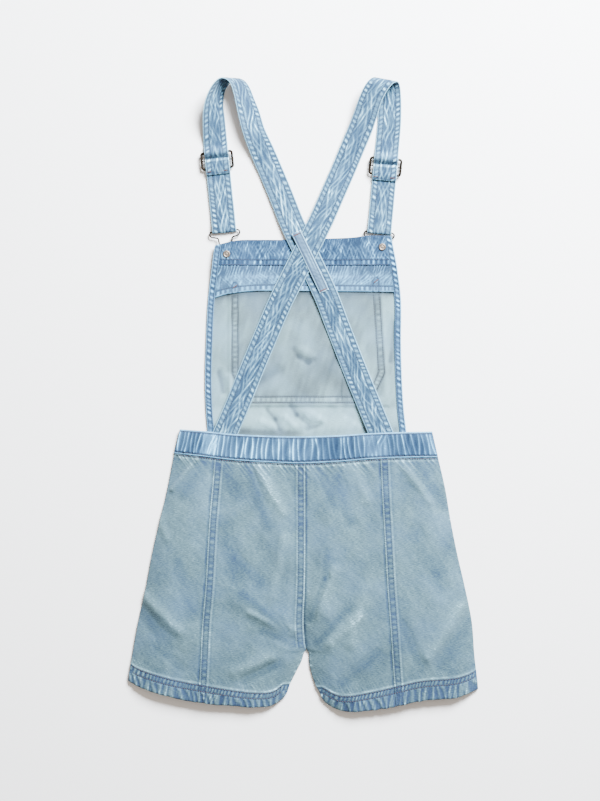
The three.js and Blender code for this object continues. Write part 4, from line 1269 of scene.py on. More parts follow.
    def build_back(self, panel: LegPanel) -> None:
        """One back panel, from its plan points and the surface over them."""
        x, y = self.plan(panel)
        top, wear_and_shade = self.surface(x, y)
        scallop = 0.7 * Unevenness(81)(x / 6.5, x * 0) * bell(y - panel.hem(x), 4)
        low = np.maximum(top - CLOTH, self.underside(x, y))
        shell = Shell(panel.name, stacked(x, y + scallop, top), stacked(x, y + scallop, low), wear_and_shade, x, y,
                      np.full(x.shape, 0.2))
        piece = seat(shell.build(self.room.legs, self.room.inside), Slot.LEGS, panel.name)

    def build_front(self, name: str, start: Line, end: Line, hem: Line) -> None:
        """One front panel, flat where it rests, with the faint mottling that the back has."""
        u, v = square_grid(50, 70)
        top = lambda at: self.waist.bottom_y(at) - SEAM_GAP / 2
        x, y = between(start, end, hem, top, u, v)
        wear_and_shade = 0.2 * streaks(x, y, 83, 2.7, 9, 0.8)
        wear_and_shade = wear_and_shade + 0.55 * bell(y - hem(x) - 24, 2) - 0.8 * bell(y - hem(x) - 21, 1.6)
        upper, lower = stacked(x, y, np.full(x.shape, LEG_CLOTH)), stacked(x, y, np.zeros(x.shape))
        shell = Shell(name, lower, upper, wear_and_shade, x, y, np.full(x.shape, 0.2))
        piece = seat(shell.build(self.room.legs, self.room.inside), Slot.LEGS, name)

    def path(self, x: Array, y: Array, proud: float = 0.25) -> Array:
        """Points just proud of the back cloth over plan points."""
        top, _ = self.surface(x, y)
        return stacked(x, y, top + proud)

    def sew(self) -> None:
        """The stitch rows of the felled seams, the hems and the waist seam."""
        rows = Stitches("leg_seam_stitches")
        for line, into, end_y in ((self.panel_left, 1, -452), (self.inner_left, -1, -372),
                                  (self.panel_right, 1, -462)):
            y = np.arange(-106.0, end_y, -1.2)
            for inset in (3.4, 10.6):
                rows.row(self.path(line(y) + into * inset, y))
        seat(rows.build(self.room.blue_thread), Slot.LEGS)
        hems = Stitches("hem_stitches", length=3.3, gap=0.5, radius=0.8)
        for hem, start, end in ((self.hem_left, -257.0, -31.0), (self.hem_right, 29.0, 258.0)):
            x = np.arange(start, end, 1.2)
            for row in (self.upper_row, self.lower_row):
                hems.row(self.path(x, hem(x) + row(x)))
        x = np.arange(-190.0, 199.0, 1.2)
        hems.row(self.path(x, self.waist.bottom_y(x) - 1.5))
        seat(hems.build(self.room.thread), Slot.LEGS)

    def build(self) -> None:
        """All the leg pieces."""
        for panel in self.panels:
            self.build_back(panel)
        self.build_front("front_leg_left", self.side_left, self.inner_left, self.hem_left)
        self.build_front("front_leg_right", self.inner_right, self.side_right, self.hem_right)
        self.sew()


@dataclass
class Waistband:
    """The elasticated back band with its gathers, and the flat front band under the bib."""

    room: Workroom
    lines: WaistLines
    legs: Legs
    lip: float = 3.0
    columns: int = 540
    rows: int = 30
    seam_gap: float = 0.4
    front_below_back: float = 5.0

    def surface(self, share: Array, up: Array) -> tuple[Array, Array, Array, Array]:
        """Plan, outer height and fade over the back band.

        Between its two lips the band rises with the gathers, and is blue between them and white on them.
        """
        x = self.lines.bottom_x_at(share) * (1 - up) + self.lines.top_x_at(share) * up
        bottom = self.lines.bottom_y(self.lines.bottom_x_at(share)) + self.seam_gap
        y = bottom * (1 - up) + self.lines.top_y_at(share) * up
        t = up * self.lines.height
        from_top = self.lines.height - t
        body = smooth((t - self.lip + 0.6) / 1.6) * smooth((from_top - self.lip + 0.6) / 1.6)
        gathers = self.lines.gathered(share, up)
        flat = self.lines.flatness(share)
        minor = streaks(share * self.lines.length, t, 91, 3.4, 17, 0.2)
        lines = veins(share * self.lines.length, t, 92, 7.0, 15, 0.3)
        rise = BAND_CLOTH - 0.4 + body * (0.5 + 2.1 * gathers + 0.45 * minor + 0.5 * lines * flat)
        rise += 0.7 * bell(t - 1.2, 1.2) + 0.9 * bell(from_top - 1.3, 1.3)
        rise -= 0.3 * (bell(t - self.lip, 0.9) + bell(from_top - self.lip, 0.9))
        slow = Unevenness(94)(share * self.lines.length / 33, t * 0)
        wear_and_shade = body * (-0.7 + 0.35 * slow + 1.7 * gathers + 0.35 * minor + flat * (0.75 + 0.8 * lines))
        wear_and_shade += 0.75 * bell(t - 0.9, 1.2) + 0.8 * bell(from_top - 1.1, 1.2)
        wear_and_shade -= 1.0 * bell(t - self.lip - 0.3, 1.0) + 1.0 * bell(from_top - self.lip - 0.2, 0.9)
        ends = 1 - smooth((np.minimum(share, 1 - share) * self.lines.length - 6) / 8)
        wear_and_shade += 0.35 * ends * body
        return x, y, self.legs.underside(x, y) + rise, np.clip(wear_and_shade, -1, 1)

    def build(self) -> None:
        """Both bands and the back band's stitches."""
        share, up = square_grid(self.columns, self.rows)
        x, y, top, wear_and_shade = self.surface(share, up)
        low = self.legs.underside(x, y)
        shell = Shell("back_waistband", stacked(x, y, top), stacked(x, y, low), wear_and_shade,
                      share * self.lines.length, up * self.lines.height)
        piece = seat(shell.build(self.room.band, self.room.inside), Slot.BAND, "back_waistband")
        u, v = square_grid(120, 14)
        x, y, _, _ = self.surface(u, v)
        y = y - v * self.front_below_back
        wear_and_shade = 0.4 * bell(v - 0.12, 0.05) - 0.5 * bell(v - 0.18, 0.05) + 0.2 * streaks(x, y, 93, 3, 9)
        upper, lower = stacked(x, y, np.full(x.shape, LEG_CLOTH)), stacked(x, y, np.zeros(x.shape))
        shell = Shell("front_waistband", lower, upper, wear_and_shade, x, y)
        piece = seat(shell.build(self.room.band, self.room.band), Slot.BAND, "front_waistband")
        rows = Stitches("waistband_stitches", length=2.8, gap=0.5, radius=0.6)
        share = np.linspace(0.004, 0.996, 420)
        for up_mm in (self.lip, self.lines.height - self.lip):
            x, y, top, _ = self.surface(share, np.full(share.shape, up_mm / self.lines.height))
            rows.row(stacked(x, y, top + 0.25))
        seat(rows.build(self.room.thread), Slot.BAND)


# Bib


@dataclass(frozen=True)
class BibSection:
    """The bib's two sides at one height."""

    y: float
    left: float
    right: float


BIB_SECTIONS = (
    BibSection(-80, -142.5, 156),
    BibSection(-56, -143, 155),
    BibSection(-26, -145.5, 151.5),
    BibSection(22, -147, 148.5),
    BibSection(80, -145.5, 147),
    BibSection(142, -142.5, 147),
    BibSection(190, -136.5, 141),
    BibSection(214, -133.5, 136.5),
    BibSection(240, -129, 131.5),
)
BIB_TOP = (
    Place(-134, 222.5),
    Place(-99, 230.5),
    Place(-66, 231.8),
    Place(-28, 231.8),
    Place(37, 233.7),
    Place(76, 235.4),
    Place(96, 237.6),
    Place(134, 237.2),
)
FACING_EDGE = (
    Place(-132, 145),
    Place(-115, 150),
    Place(-73, 155),
    Place(0, 155),
    Place(134, 153.5),
)
BIB_FOLDS = (
    Fold(-54, -22, -41, -37, 3.6, -1.9),
    Fold(-41, -37, -35, -52, 3.6, -1.9),
    Fold(-64, -40, -46, -49, 6, 1.3),
    Fold(-18, -17, -9, -30, 3.6, -2.0),
    Fold(-9, -30, 8, -44, 4, -2.0),
    Fold(-27, -34, -13, -48, 5, 1.3),
    Fold(6, -51, 25, -45, 4, -1.8),
    Fold(6, -26, 30, -41, 6, 1.1),
    Fold(42, -12, 84, -44, 6, 0.9),
    Fold(60, -26, 96, -50, 5, -1.0),
    Fold(-13, 68, -6, 57, 3.6, -1.3),
    Fold(-6, 57, 8, 48, 3.6, -1.6),
    Fold(8, 48, 15, 52, 3.6, -1.2),
    Fold(-1, 67, 10, 59, 6, 1.1),
    Fold(-126, 34, -119, 4, 4, -1.8),
    Fold(-112, 26, -106, -14, 5, 1.2),
    Fold(137, 106, 131, 50, 3.6, -1.3),
    Fold(-38, 37, -72, 18, 7, -1.2),
    Fold(-34, 112, -48, 88, 8, -0.9),
    Fold(96, 20, 84, 66, 9, 0.9),
    Fold(30, 20, 52, 60, 9, -0.8),
)


@dataclass(frozen=True)
class Button:
    """A bib button's place: its head lies under the bib, its rivet on the top band."""

    side: Side
    x: float
    y: float


BUTTONS = (Button(Side.LEFT, -114.3, 210), Button(Side.RIGHT, 118.5, 220.5))


@dataclass
class Bib:
    """The bib from its inside: pale cloth, puckered hems, a facing, a stitched band, the pocket below."""

    room: Workroom
    waist: WaistLines
    hem_width: float = 10.0
    band_edge: float = 193.0
    pocket_left: float = -108.0
    pocket_right_top: float = 115.5
    pocket_right_bottom: float = 126.0
    pocket_top: float = 173.0
    pocket_bottom: float = -14.0
    chamfer: float = 24.0
    chamfer_rise: float = 45.0
    ramp: float = 5.0
    button_lift: float = 5.5
    lift_from: float = 69.0
    lift_full: float = 97.0
    front_below_back: float = 5.0
    arches: tuple[tuple[float, float, float], ...] = ((-106.2, 140, 168), (104.8, 144, 176))

    def __post_init__(self) -> None:
        """Draws the outline curves."""
        self.left = table_line(BIB_SECTIONS, "y", "left")
        self.right = table_line(BIB_SECTIONS, "y", "right")
        self.top = table_line(BIB_TOP, "x", "y")
        self.facing_edge = table_line(FACING_EDGE, "x", "y")

    def pocket_right(self, y: Array) -> Array:
        """The pocket's right edge, which leans outward on its way down."""
        t = (self.pocket_top - y) / (self.pocket_top - self.pocket_bottom)
        spread = self.pocket_right_bottom - self.pocket_right_top
        return self.pocket_right_top + spread * np.clip(t, -0.4, 1.2)

    def pocket_outline(self, inset: float) -> list[tuple[float, float]]:
        """The pocket's sides and bottom, drawn in by an inset, from the top left corner to the top right."""
        top, bottom = self.pocket_top, self.pocket_bottom + inset
        left = self.pocket_left + inset
        shoulder = self.pocket_bottom + self.chamfer_rise + 0.3 * inset
        right = self.pocket_right_top - inset
        low_right = self.pocket_right_bottom - inset
        cut_in = self.chamfer - 0.6 * inset
        return [(left, top), (left, shoulder), (left + cut_in, bottom), (low_right - cut_in, bottom),
                (low_right - 2, shoulder), (right, top)]

    def underside(self, x: Array, y: Array) -> Array:
        """Height of the bib's underside: lifted over the pocket and over the buttons at the corners."""
        beyond = np.maximum.reduce([
            self.pocket_left - 1 - x,
            x - self.pocket_right(y) - 1,
            self.pocket_bottom - 1 - y,
            y - self.pocket_top - 1,
        ])
        pocket = 1 - smooth(beyond / self.ramp)
        climb = np.interp(y, [150, 174, 179, self.band_edge], [0, 0.5, 0.63, 1])
        corner = np.clip((np.abs(x) - self.lift_from) / (self.lift_full - self.lift_from), 0, 1)
        lift = climb * corner
        return (CLOTH + SEAM_GAP) * pocket * (1 - lift) + self.button_lift * lift

    def layer(self, name: str, lines: tuple[Line, Line, Line, Line], counts: tuple[int, int],
              base: float, thickness: float, relief: Callable[[Array, Array], tuple[Array, Array]],
              material: bpy.types.Material, slot: Slot) -> bpy.types.Object:
        """One piece of the bib on the shared underside.

        Args:
            name: the piece's name, and its solid's.
            lines: left, right, bottom and top.
            counts: columns and rows of its grid.
            base: how far its underside lies over the bib's.
            thickness: its cloth.
            relief: extra height, and fade with any painted shade, over plan points.
            material: its outer finish.
            slot: its slot, which is not used.
        Returns:
            The piece.
        """
        u, v = square_grid(*counts)
        x, y = between(*lines, u, v)
        rise, wear_and_shade = relief(x, y)
        under = self.underside(x, y) + base
        upper = under + np.maximum(thickness + rise, 0.5)
        shell = Shell(name, stacked(x, y, upper), stacked(x, y, under), np.clip(wear_and_shade, -1, 1), x, y,
                      np.full(x.shape, -0.1))
        return seat(shell.build(material, self.room.legs), slot, name)

    def main_relief(self, x: Array, y: Array) -> tuple[Array, Array]:
        """Soft wrinkles near the waist, and the pocket's stitch rows showing through, with puckers. Painted
        shade darkens the wrinkles' troughs, the cloth just above the back waistband and the cloth under the
        facing's edge; painted highlight lightens the wrinkles' ridges.
        """
        wrinkles = WRINKLE_DEPTH * fold_relief(BIB_FOLDS, x, y)
        rise = 0.8 * wrinkles + 0.5 * streaks(x, y, 101, 19, 34, 0.4)
        # Strength of the painted shadow of the back waistband on the bib, stronger on the left.
        shade = 0.4 + 0.6 * smooth((10 - x) / 40)
        # Painted shade in the wrinkles' troughs and painted highlight on their ridges, and the painted shadow
        # of the back waistband on the cloth just above it.
        wear_and_shade = -0.08 + 0.26 * np.minimum(wrinkles, 0.5) - shade * bell(y - self.waist.top_y(x) - 4, 7)
        wear_and_shade = wear_and_shade + 0.26 * Unevenness(102)(x / 34, y / 47) + 0.14 * streaks(x, y, 103, 5, 18, 0.3)
        inside = smooth((y - self.pocket_bottom - 8) / 6) * smooth((x - self.pocket_left) / 4)
        wear_and_shade -= 0.3 * inside * smooth((self.pocket_right(y) - x) / 4)
        # Painted shadow of the facing's lower edge on the cloth below it.
        under = self.facing_edge(x) - y
        wear_and_shade -= 0.7 * bell(under - 0.5, 3.2) + 0.3 * bell(under - 4, 6)
        near, along = to_path(x, y, self.pocket_outline(1.8))
        inner, _ = to_path(x, y, self.pocket_outline(10.5))
        below_facing = smooth((150 - y) / 6)
        middle, _ = to_path(x, y, self.pocket_outline(6.0))
        rungs = ladder(along, 7.6, 104) * bell(middle, 2.6)
        seam = -0.95 * bell(near, 1.3) - 0.9 * bell(inner, 1.2) + 0.4 * rungs - 0.12 * bell(middle, 4)
        wear_and_shade += seam * below_facing
        rise += 0.3 * rungs - 0.25 * (bell(near, 1.2) + bell(inner, 1.2))
        short, _ = to_path(x, y, ((58.5, -8), (58.5, 24)))
        wear_and_shade -= 0.45 * bell(short, 1.0)
        wear_and_shade += 0.35 * smooth((self.pocket_bottom - 2 - y) / 8)
        return rise, wear_and_shade

    def hem_relief(self, x: Array, y: Array) -> tuple[Array, Array]:
        """Puckers slanting between the hem's edge and its stitch row."""
        edge = np.minimum(x - self.left(y), self.right(y) - x)
        steps = ladder(y + 0.5 * x, 7.8, 111)
        inside = smooth((edge - 1.2) / 1.2) * smooth((8.2 - edge) / 1.2)
        wear_and_shade = 0.7 * bell(edge - 0.6, 1.2) - 0.7 * bell(edge - 2.1, 0.8) - 0.8 * bell(edge - 8.1, 0.9)
        wear_and_shade += inside * (0.85 * steps + 0.1) + 0.45 * bell(edge - 9.6, 0.8)
        return 0.35 * steps * inside - 0.3 * (1 - smooth(edge / 1.4)), wear_and_shade

    def facing_relief(self, x: Array, y: Array) -> tuple[Array, Array]:
        """A smooth light facing: streaky puckers under the band, a stitch row with a ladder below it."""
        h = y - self.facing_edge(x)
        row = 8.5
        steps = ladder(x, 7.4, 121)
        lower = smooth((h - 1.4) / 1.2) * smooth((row - 0.8 - h) / 1.2)
        upper = smooth((h - 22) / 12)
        pulls = veins(x, y, 122, 4.4, 12, 0.3)
        outspread = veins(x, y, 124, 6.5, 9, np.where(x < 0, -1.1, 1.2))
        fan = np.maximum(outspread, 0.8 * veins(x, y, 125, 4.4, 6, 0.2))
        body = smooth((h - row - 1) / 2)
        wear_and_shade = -0.16 + 0.7 * steps * lower - 0.95 * bell(h - row, 1.1) + 0.35 * bell(h - 0.6, 1.0)
        wear_and_shade += upper * (1.6 * pulls - 0.8) + body * (0.9 * fan - 0.28) * (1 - 0.7 * upper)
        wear_and_shade += 0.3 * Unevenness(123)(x / 17, y / 11) + 0.4 * body * streaks(x, y, 126, 3.4, 7, 0.5)
        for left, foot, top in self.arches:
            outline = ((left, foot), (left, top - 5), (left + 2, top - 1), (left + 4.4, top),
                       (left + 6.8, top - 1), (left + 8.7, top - 5), (left + 8.7, foot))
            wear_and_shade -= 1.1 * bell(to_path(x, y, outline)[0], 1.0)
        puckers = 0.5 * pulls * upper + 0.6 * fan * (1 - upper)
        rise = 0.3 * steps * lower + puckers * body - 0.3 * bell(h - row, 1.0)
        return rise, wear_and_shade

    def band_relief(self, x: Array, y: Array) -> tuple[Array, Array]:
        """The top band: puckers below its upper edge, blotches, and a ladder between two lower rows."""
        h = y - self.band_edge
        down = self.top(x) - y
        steps = ladder(x, 6.6, 131)
        lower = smooth((h - 1.0) / 1.2) * smooth((8.4 - h) / 1.2)
        upper = bell(down - 4, 4.5)
        pulls = veins(x, y, 132, 3.3, 8, 0.25)
        blotch = np.maximum(veins(x, y, 133, 4.6, 8, 0.35), veins(x, y, 135, 5.6, 7, -0.45))
        body = (1 - upper) * (1 - lower)
        wear_and_shade = -0.56 + 0.8 * steps * lower - 0.9 * bell(h - 1.0, 1.0) - 0.95 * bell(h - 8.6, 1.1)
        wear_and_shade += (1.5 * pulls - 0.5) * upper + (1.1 * blotch - 0.15) * body - 0.9 * bell(down - 0.5, 0.9)
        wear_and_shade += 0.25 * Unevenness(134)(x / 23, y / 15) + 0.5 * streaks(x, y, 136, 2.4, 9, 0.3)
        wear_and_shade += 0.4 * streaks(x, y, 137, 4.2, 6, -0.5)
        rise = 0.4 * steps * lower + 0.6 * pulls * upper + 0.6 * blotch * body
        rise -= 0.3 * bell(h - 8.6, 1.0) + 0.5 * (1 - smooth(down / 1.6))
        return rise, wear_and_shade

    def build_pocket(self) -> None:
        """The pocket under the bib, flat on the table."""
        u, v = square_grid(60, 50)
        left = lambda y: np.full(np.shape(y), self.pocket_left)

        def bottom(x: Array) -> Array:
            """The lower edge, cut off at both corners."""
            from_left = 1 - (x - self.pocket_left) / self.chamfer
            from_right = 1 - (self.pocket_right_bottom - 2 - x) / self.chamfer
            return self.pocket_bottom + self.chamfer_rise * np.clip(np.maximum(from_left, from_right), 0, 1)

        mouth = lambda at: np.full(np.shape(at), self.pocket_top)
        x, y = between(left, self.pocket_right, bottom, mouth, u, v)
        near, along = to_path(x, y, self.pocket_outline(1.8))
        wear_and_shade = -0.6 * bell(near, 1.4) + 0.3 * ladder(along, 8, 141) * bell(near - 4, 3)
        lower, upper = stacked(x, y, np.zeros(x.shape)), stacked(x, y, np.full(x.shape, CLOTH))
        shell = Shell("bib_pocket", lower, upper, wear_and_shade, x, y)
        piece = seat(shell.build(self.room.legs, self.room.inside), Slot.LEGS, "bib_pocket")

    def on_piece(self, x: Array, y: Array, base: float,
                 relief: Callable[[Array, Array], tuple[Array, Array]]) -> Array:
        """Points on a bib piece's top over plan points."""
        return stacked(x, y, self.underside(x, y) + base + relief(x, y)[0] + 0.2)

    def sew(self, on_bib: float) -> None:
        """The stitch rows of the pocket, facing, band and side hems, and the pocket corners' bartacks."""
        rows = Stitches("bib_pocket_stitches", radius=0.36)
        for inset in (1.8, 10.5):
            corners = np.array(self.pocket_outline(inset))
            corners[0, 1] = self.facing_edge(corners[:1, 0])[0] - 1
            corners[-1, 1] = self.facing_edge(corners[-1:, 0])[0] - 1
            for a, b in zip(corners[:-1], corners[1:]):
                t = np.linspace(0, 1, max(int(np.linalg.norm(b - a) / 2), 2))
                x, y = a[0] + (b[0] - a[0]) * t, a[1] + (b[1] - a[1]) * t
                rows.row(self.on_piece(x, y, CLOTH, self.main_relief))
        seat(rows.build(self.room.thread), Slot.INSIDE)
        edges = Stitches("bib_edge_stitches", radius=0.38)
        x = np.arange(-124.0, 130.0, 1.5)
        edges.row(self.on_piece(x, self.facing_edge(x) + 8.5, on_bib + CLOTH, self.facing_relief))
        for h in (1.0, 8.6):
            edges.row(self.on_piece(x, self.band_edge + h + 0 * x, on_bib + BAND_CLOTH, self.band_relief))
        y = np.arange(-50.0, 224.0, 1.5)
        for inset in (2.1, 8.1):
            for across in (self.left(y) + inset, self.right(y) - inset):
                edges.row(self.on_piece(across, y, on_bib + CLOTH, self.hem_relief))
        seat(edges.build(self.room.thread), Slot.BAND)
        tacks = Stitches("pocket_bartacks", length=2.4, gap=0.01, radius=0.5)
        for left, _, top in self.arches:
            for step in np.linspace(-2.6, 2.6, 9):
                x = left + 4.4 + step + np.array([-0.9, 0.9])
                y = top - 6.5 + 0.8 * step + np.array([-0.9, 0.9])
                tacks.row(self.on_piece(x, y, on_bib + CLOTH + 0.4, self.facing_relief))
        seat(tacks.build(self.room.tack_thread), Slot.FACING)

    def build(self) -> None:
        """All the bib's pieces."""
        inset = SEAM_GAP / 2
        on_bib = CLOTH + SEAM_GAP
        foot = lambda x: self.waist.top_y(x) - self.front_below_back + SEAM_GAP
        left_in = lambda y: self.left(y) + self.hem_width + inset
        right_in = lambda y: self.right(y) - self.hem_width - inset
        band_foot = lambda x: np.full(np.shape(x), self.band_edge + inset)
        facing_head = lambda x: np.full(np.shape(x), self.band_edge - inset)
        piece = self.layer("bib", (self.left, self.right, foot, self.top), (150, 164), 0, CLOTH,
                           self.main_relief, self.room.inside, Slot.INSIDE)
        for name, start, end in (("bib_hem_left", self.left, lambda y: left_in(y) - SEAM_GAP),
                                 ("bib_hem_right", lambda y: right_in(y) + SEAM_GAP, self.right)):
            piece = self.layer(name, (start, end, foot, self.top), (13, 260),
                               on_bib, CLOTH, self.hem_relief, self.room.band, Slot.BAND)
        piece = self.layer("bib_facing", (left_in, right_in, self.facing_edge, facing_head), (240, 36),
                           on_bib, CLOTH, self.facing_relief, self.room.facing, Slot.FACING)
        piece = self.layer("bib_top_band", (left_in, right_in, band_foot, self.top), (250, 38),
                           on_bib, BAND_CLOTH, self.band_relief, self.room.band, Slot.BAND)
        self.build_pocket()
        self.sew(on_bib)


# Straps


@dataclass(frozen=True)
class StrapPoint:
    """A place on a strap's middle line."""

    x: float
    y: float
    z: float


@dataclass(frozen=True)
class EdgePair:
    """A strap's two edges at one place of its shoulder loop."""

    left_x: float
    left_y: float
    left_z: float
    right_x: float
    right_y: float
    right_z: float


@dataclass(frozen=True)
class FrontStretch:
    """A strap's straight run down the front: from the loop to the hook's bar, and where its slider sits."""

    side: Side
    from_x: float
    from_y: float
    to_x: float
    to_y: float
    slider_at: float

    @property
    def direction(self) -> Array:
        """The way down the front, level and of length 1."""
        way = np.array([self.to_x - self.from_x, self.to_y - self.from_y])
        return way / np.linalg.norm(way)

    @property
    def length(self) -> float:
        """Its length in mm."""
        return math.hypot(self.to_x - self.from_x, self.to_y - self.from_y)

    def at(self, along: Array, across: Array, z: Array) -> Array:
        """Points at lengths along it, distances across it to the picture's right, and given heights."""
        way = self.direction
        x = self.from_x + way[0] * along - way[1] * across
        y = self.from_y + way[1] * along + way[0] * across
        return stacked(x, y, z)


@dataclass(frozen=True)
class HookPoint:
    """A point on half of a hook's wire: across from its middle, along away from its button, its height."""

    across: float
    along: float
    z: float


LEFT_ROUTE = (
    StrapPoint(120.6, -68, 5.8),
    StrapPoint(114.6, -53, 5.7),
    StrapPoint(101, -20, 4.4),
    StrapPoint(76.5, 40, 4.1),
    StrapPoint(51, 105, 4.3),
    StrapPoint(34.5, 148, 5.6),
    StrapPoint(6.8, 207, 5.6),
    StrapPoint(-9.5, 241, 4.8),
    StrapPoint(-18.8, 262, 3.9),
    StrapPoint(-33, 298, 3),
    StrapPoint(-48, 334, 2.8),
)
RIGHT_ROUTE = (
    StrapPoint(-120.5, -68, 5.8),
    StrapPoint(-114.2, -53, 5.7),
    StrapPoint(-100, -20, 4.4),
    StrapPoint(-75.8, 40, 4.1),
    StrapPoint(-54, 92, 4.5),
    StrapPoint(-39, 127, 6.6),
    StrapPoint(-29.3, 148, 7.6),
    StrapPoint(0, 206, 7.8),
    StrapPoint(17, 240, 7.5),
    StrapPoint(27.8, 262, 6.5),
    StrapPoint(43.5, 298, 4.2),
    StrapPoint(59.3, 334, 3.4),
)
LEFT_LOOP = (
    EdgePair(-77.5, 357, 5, -44.5, 371, 3),
    EdgePair(-90, 391, 14, -57.5, 398.5, 3),
    EdgePair(-97.5, 421, 19, -65.5, 424, 3),
    EdgePair(-102.5, 445, 23.5, -72.8, 442, 3.2),
    EdgePair(-107.5, 461, 27, -80.3, 460, 3.4),
    EdgePair(-113.5, 468, 29, -88, 470, 3.5),
    EdgePair(-123, 470, 30, -98.5, 473, 3.4),
    EdgePair(-132.5, 462.5, 29.5, -110.5, 465.5, 2.5),
    EdgePair(-141.5, 448, 27, -117.5, 453, 2),
    EdgePair(-147.5, 430, 22, -119.5, 433, 1.6),
    EdgePair(-149.7, 409, 14, -116.8, 410.5, 1.4),
)
RIGHT_LOOP = (
    EdgePair(59.3, 381, 5.2, 92.5, 367, 5.4),
    EdgePair(68.5, 402.5, 7, 102.5, 390.5, 8),
    EdgePair(76, 421.5, 11, 110.5, 414, 13),
    EdgePair(82.5, 440, 15.5, 117, 435.5, 18),
    EdgePair(89, 455, 19, 124, 450, 21.5),
    EdgePair(96, 466, 20, 132, 461, 22.5),
    EdgePair(103, 472, 17, 138.5, 466, 19.5),
    EdgePair(108, 473, 12, 143, 465.5, 14),
    EdgePair(111.5, 468.5, 7, 145.5, 459, 8.5),
    EdgePair(112.5, 453, 3, 147, 447, 4),
    EdgePair(112.5, 430, 1.5, 147.5, 427, 1.8),
    EdgePair(111.5, 406, 1.2, 147, 404, 1.2),
)
LEFT_FRONT = FrontStretch(Side.LEFT, -132.2, 385, -117.8, 245.5, 34.5)
RIGHT_FRONT = FrontStretch(Side.RIGHT, 127.2, 382, 114.4, 243.5, 41)
HOOK_HALF = (
    HookPoint(1, 0, 3.2),
    HookPoint(10, 0, 3.2),
    HookPoint(18.5, 0.2, 3.2),
    HookPoint(21.6, -1.2, 3.3),
    HookPoint(22.6, -4.2, 3.5),
    HookPoint(20.4, -7.8, 3.8),
    HookPoint(14.6, -9.4, 4.1),
    HookPoint(10.6, -11.2, 4.3),
    HookPoint(9.9, -15.5, 4.4),
    HookPoint(8.6, -22, 4.4),
    HookPoint(5.2, -29, 4.4),
    HookPoint(4.4, -34, 4.4),
    HookPoint(2.9, -37.3, 4.4),
    HookPoint(0, -38.8, 4.4),
)


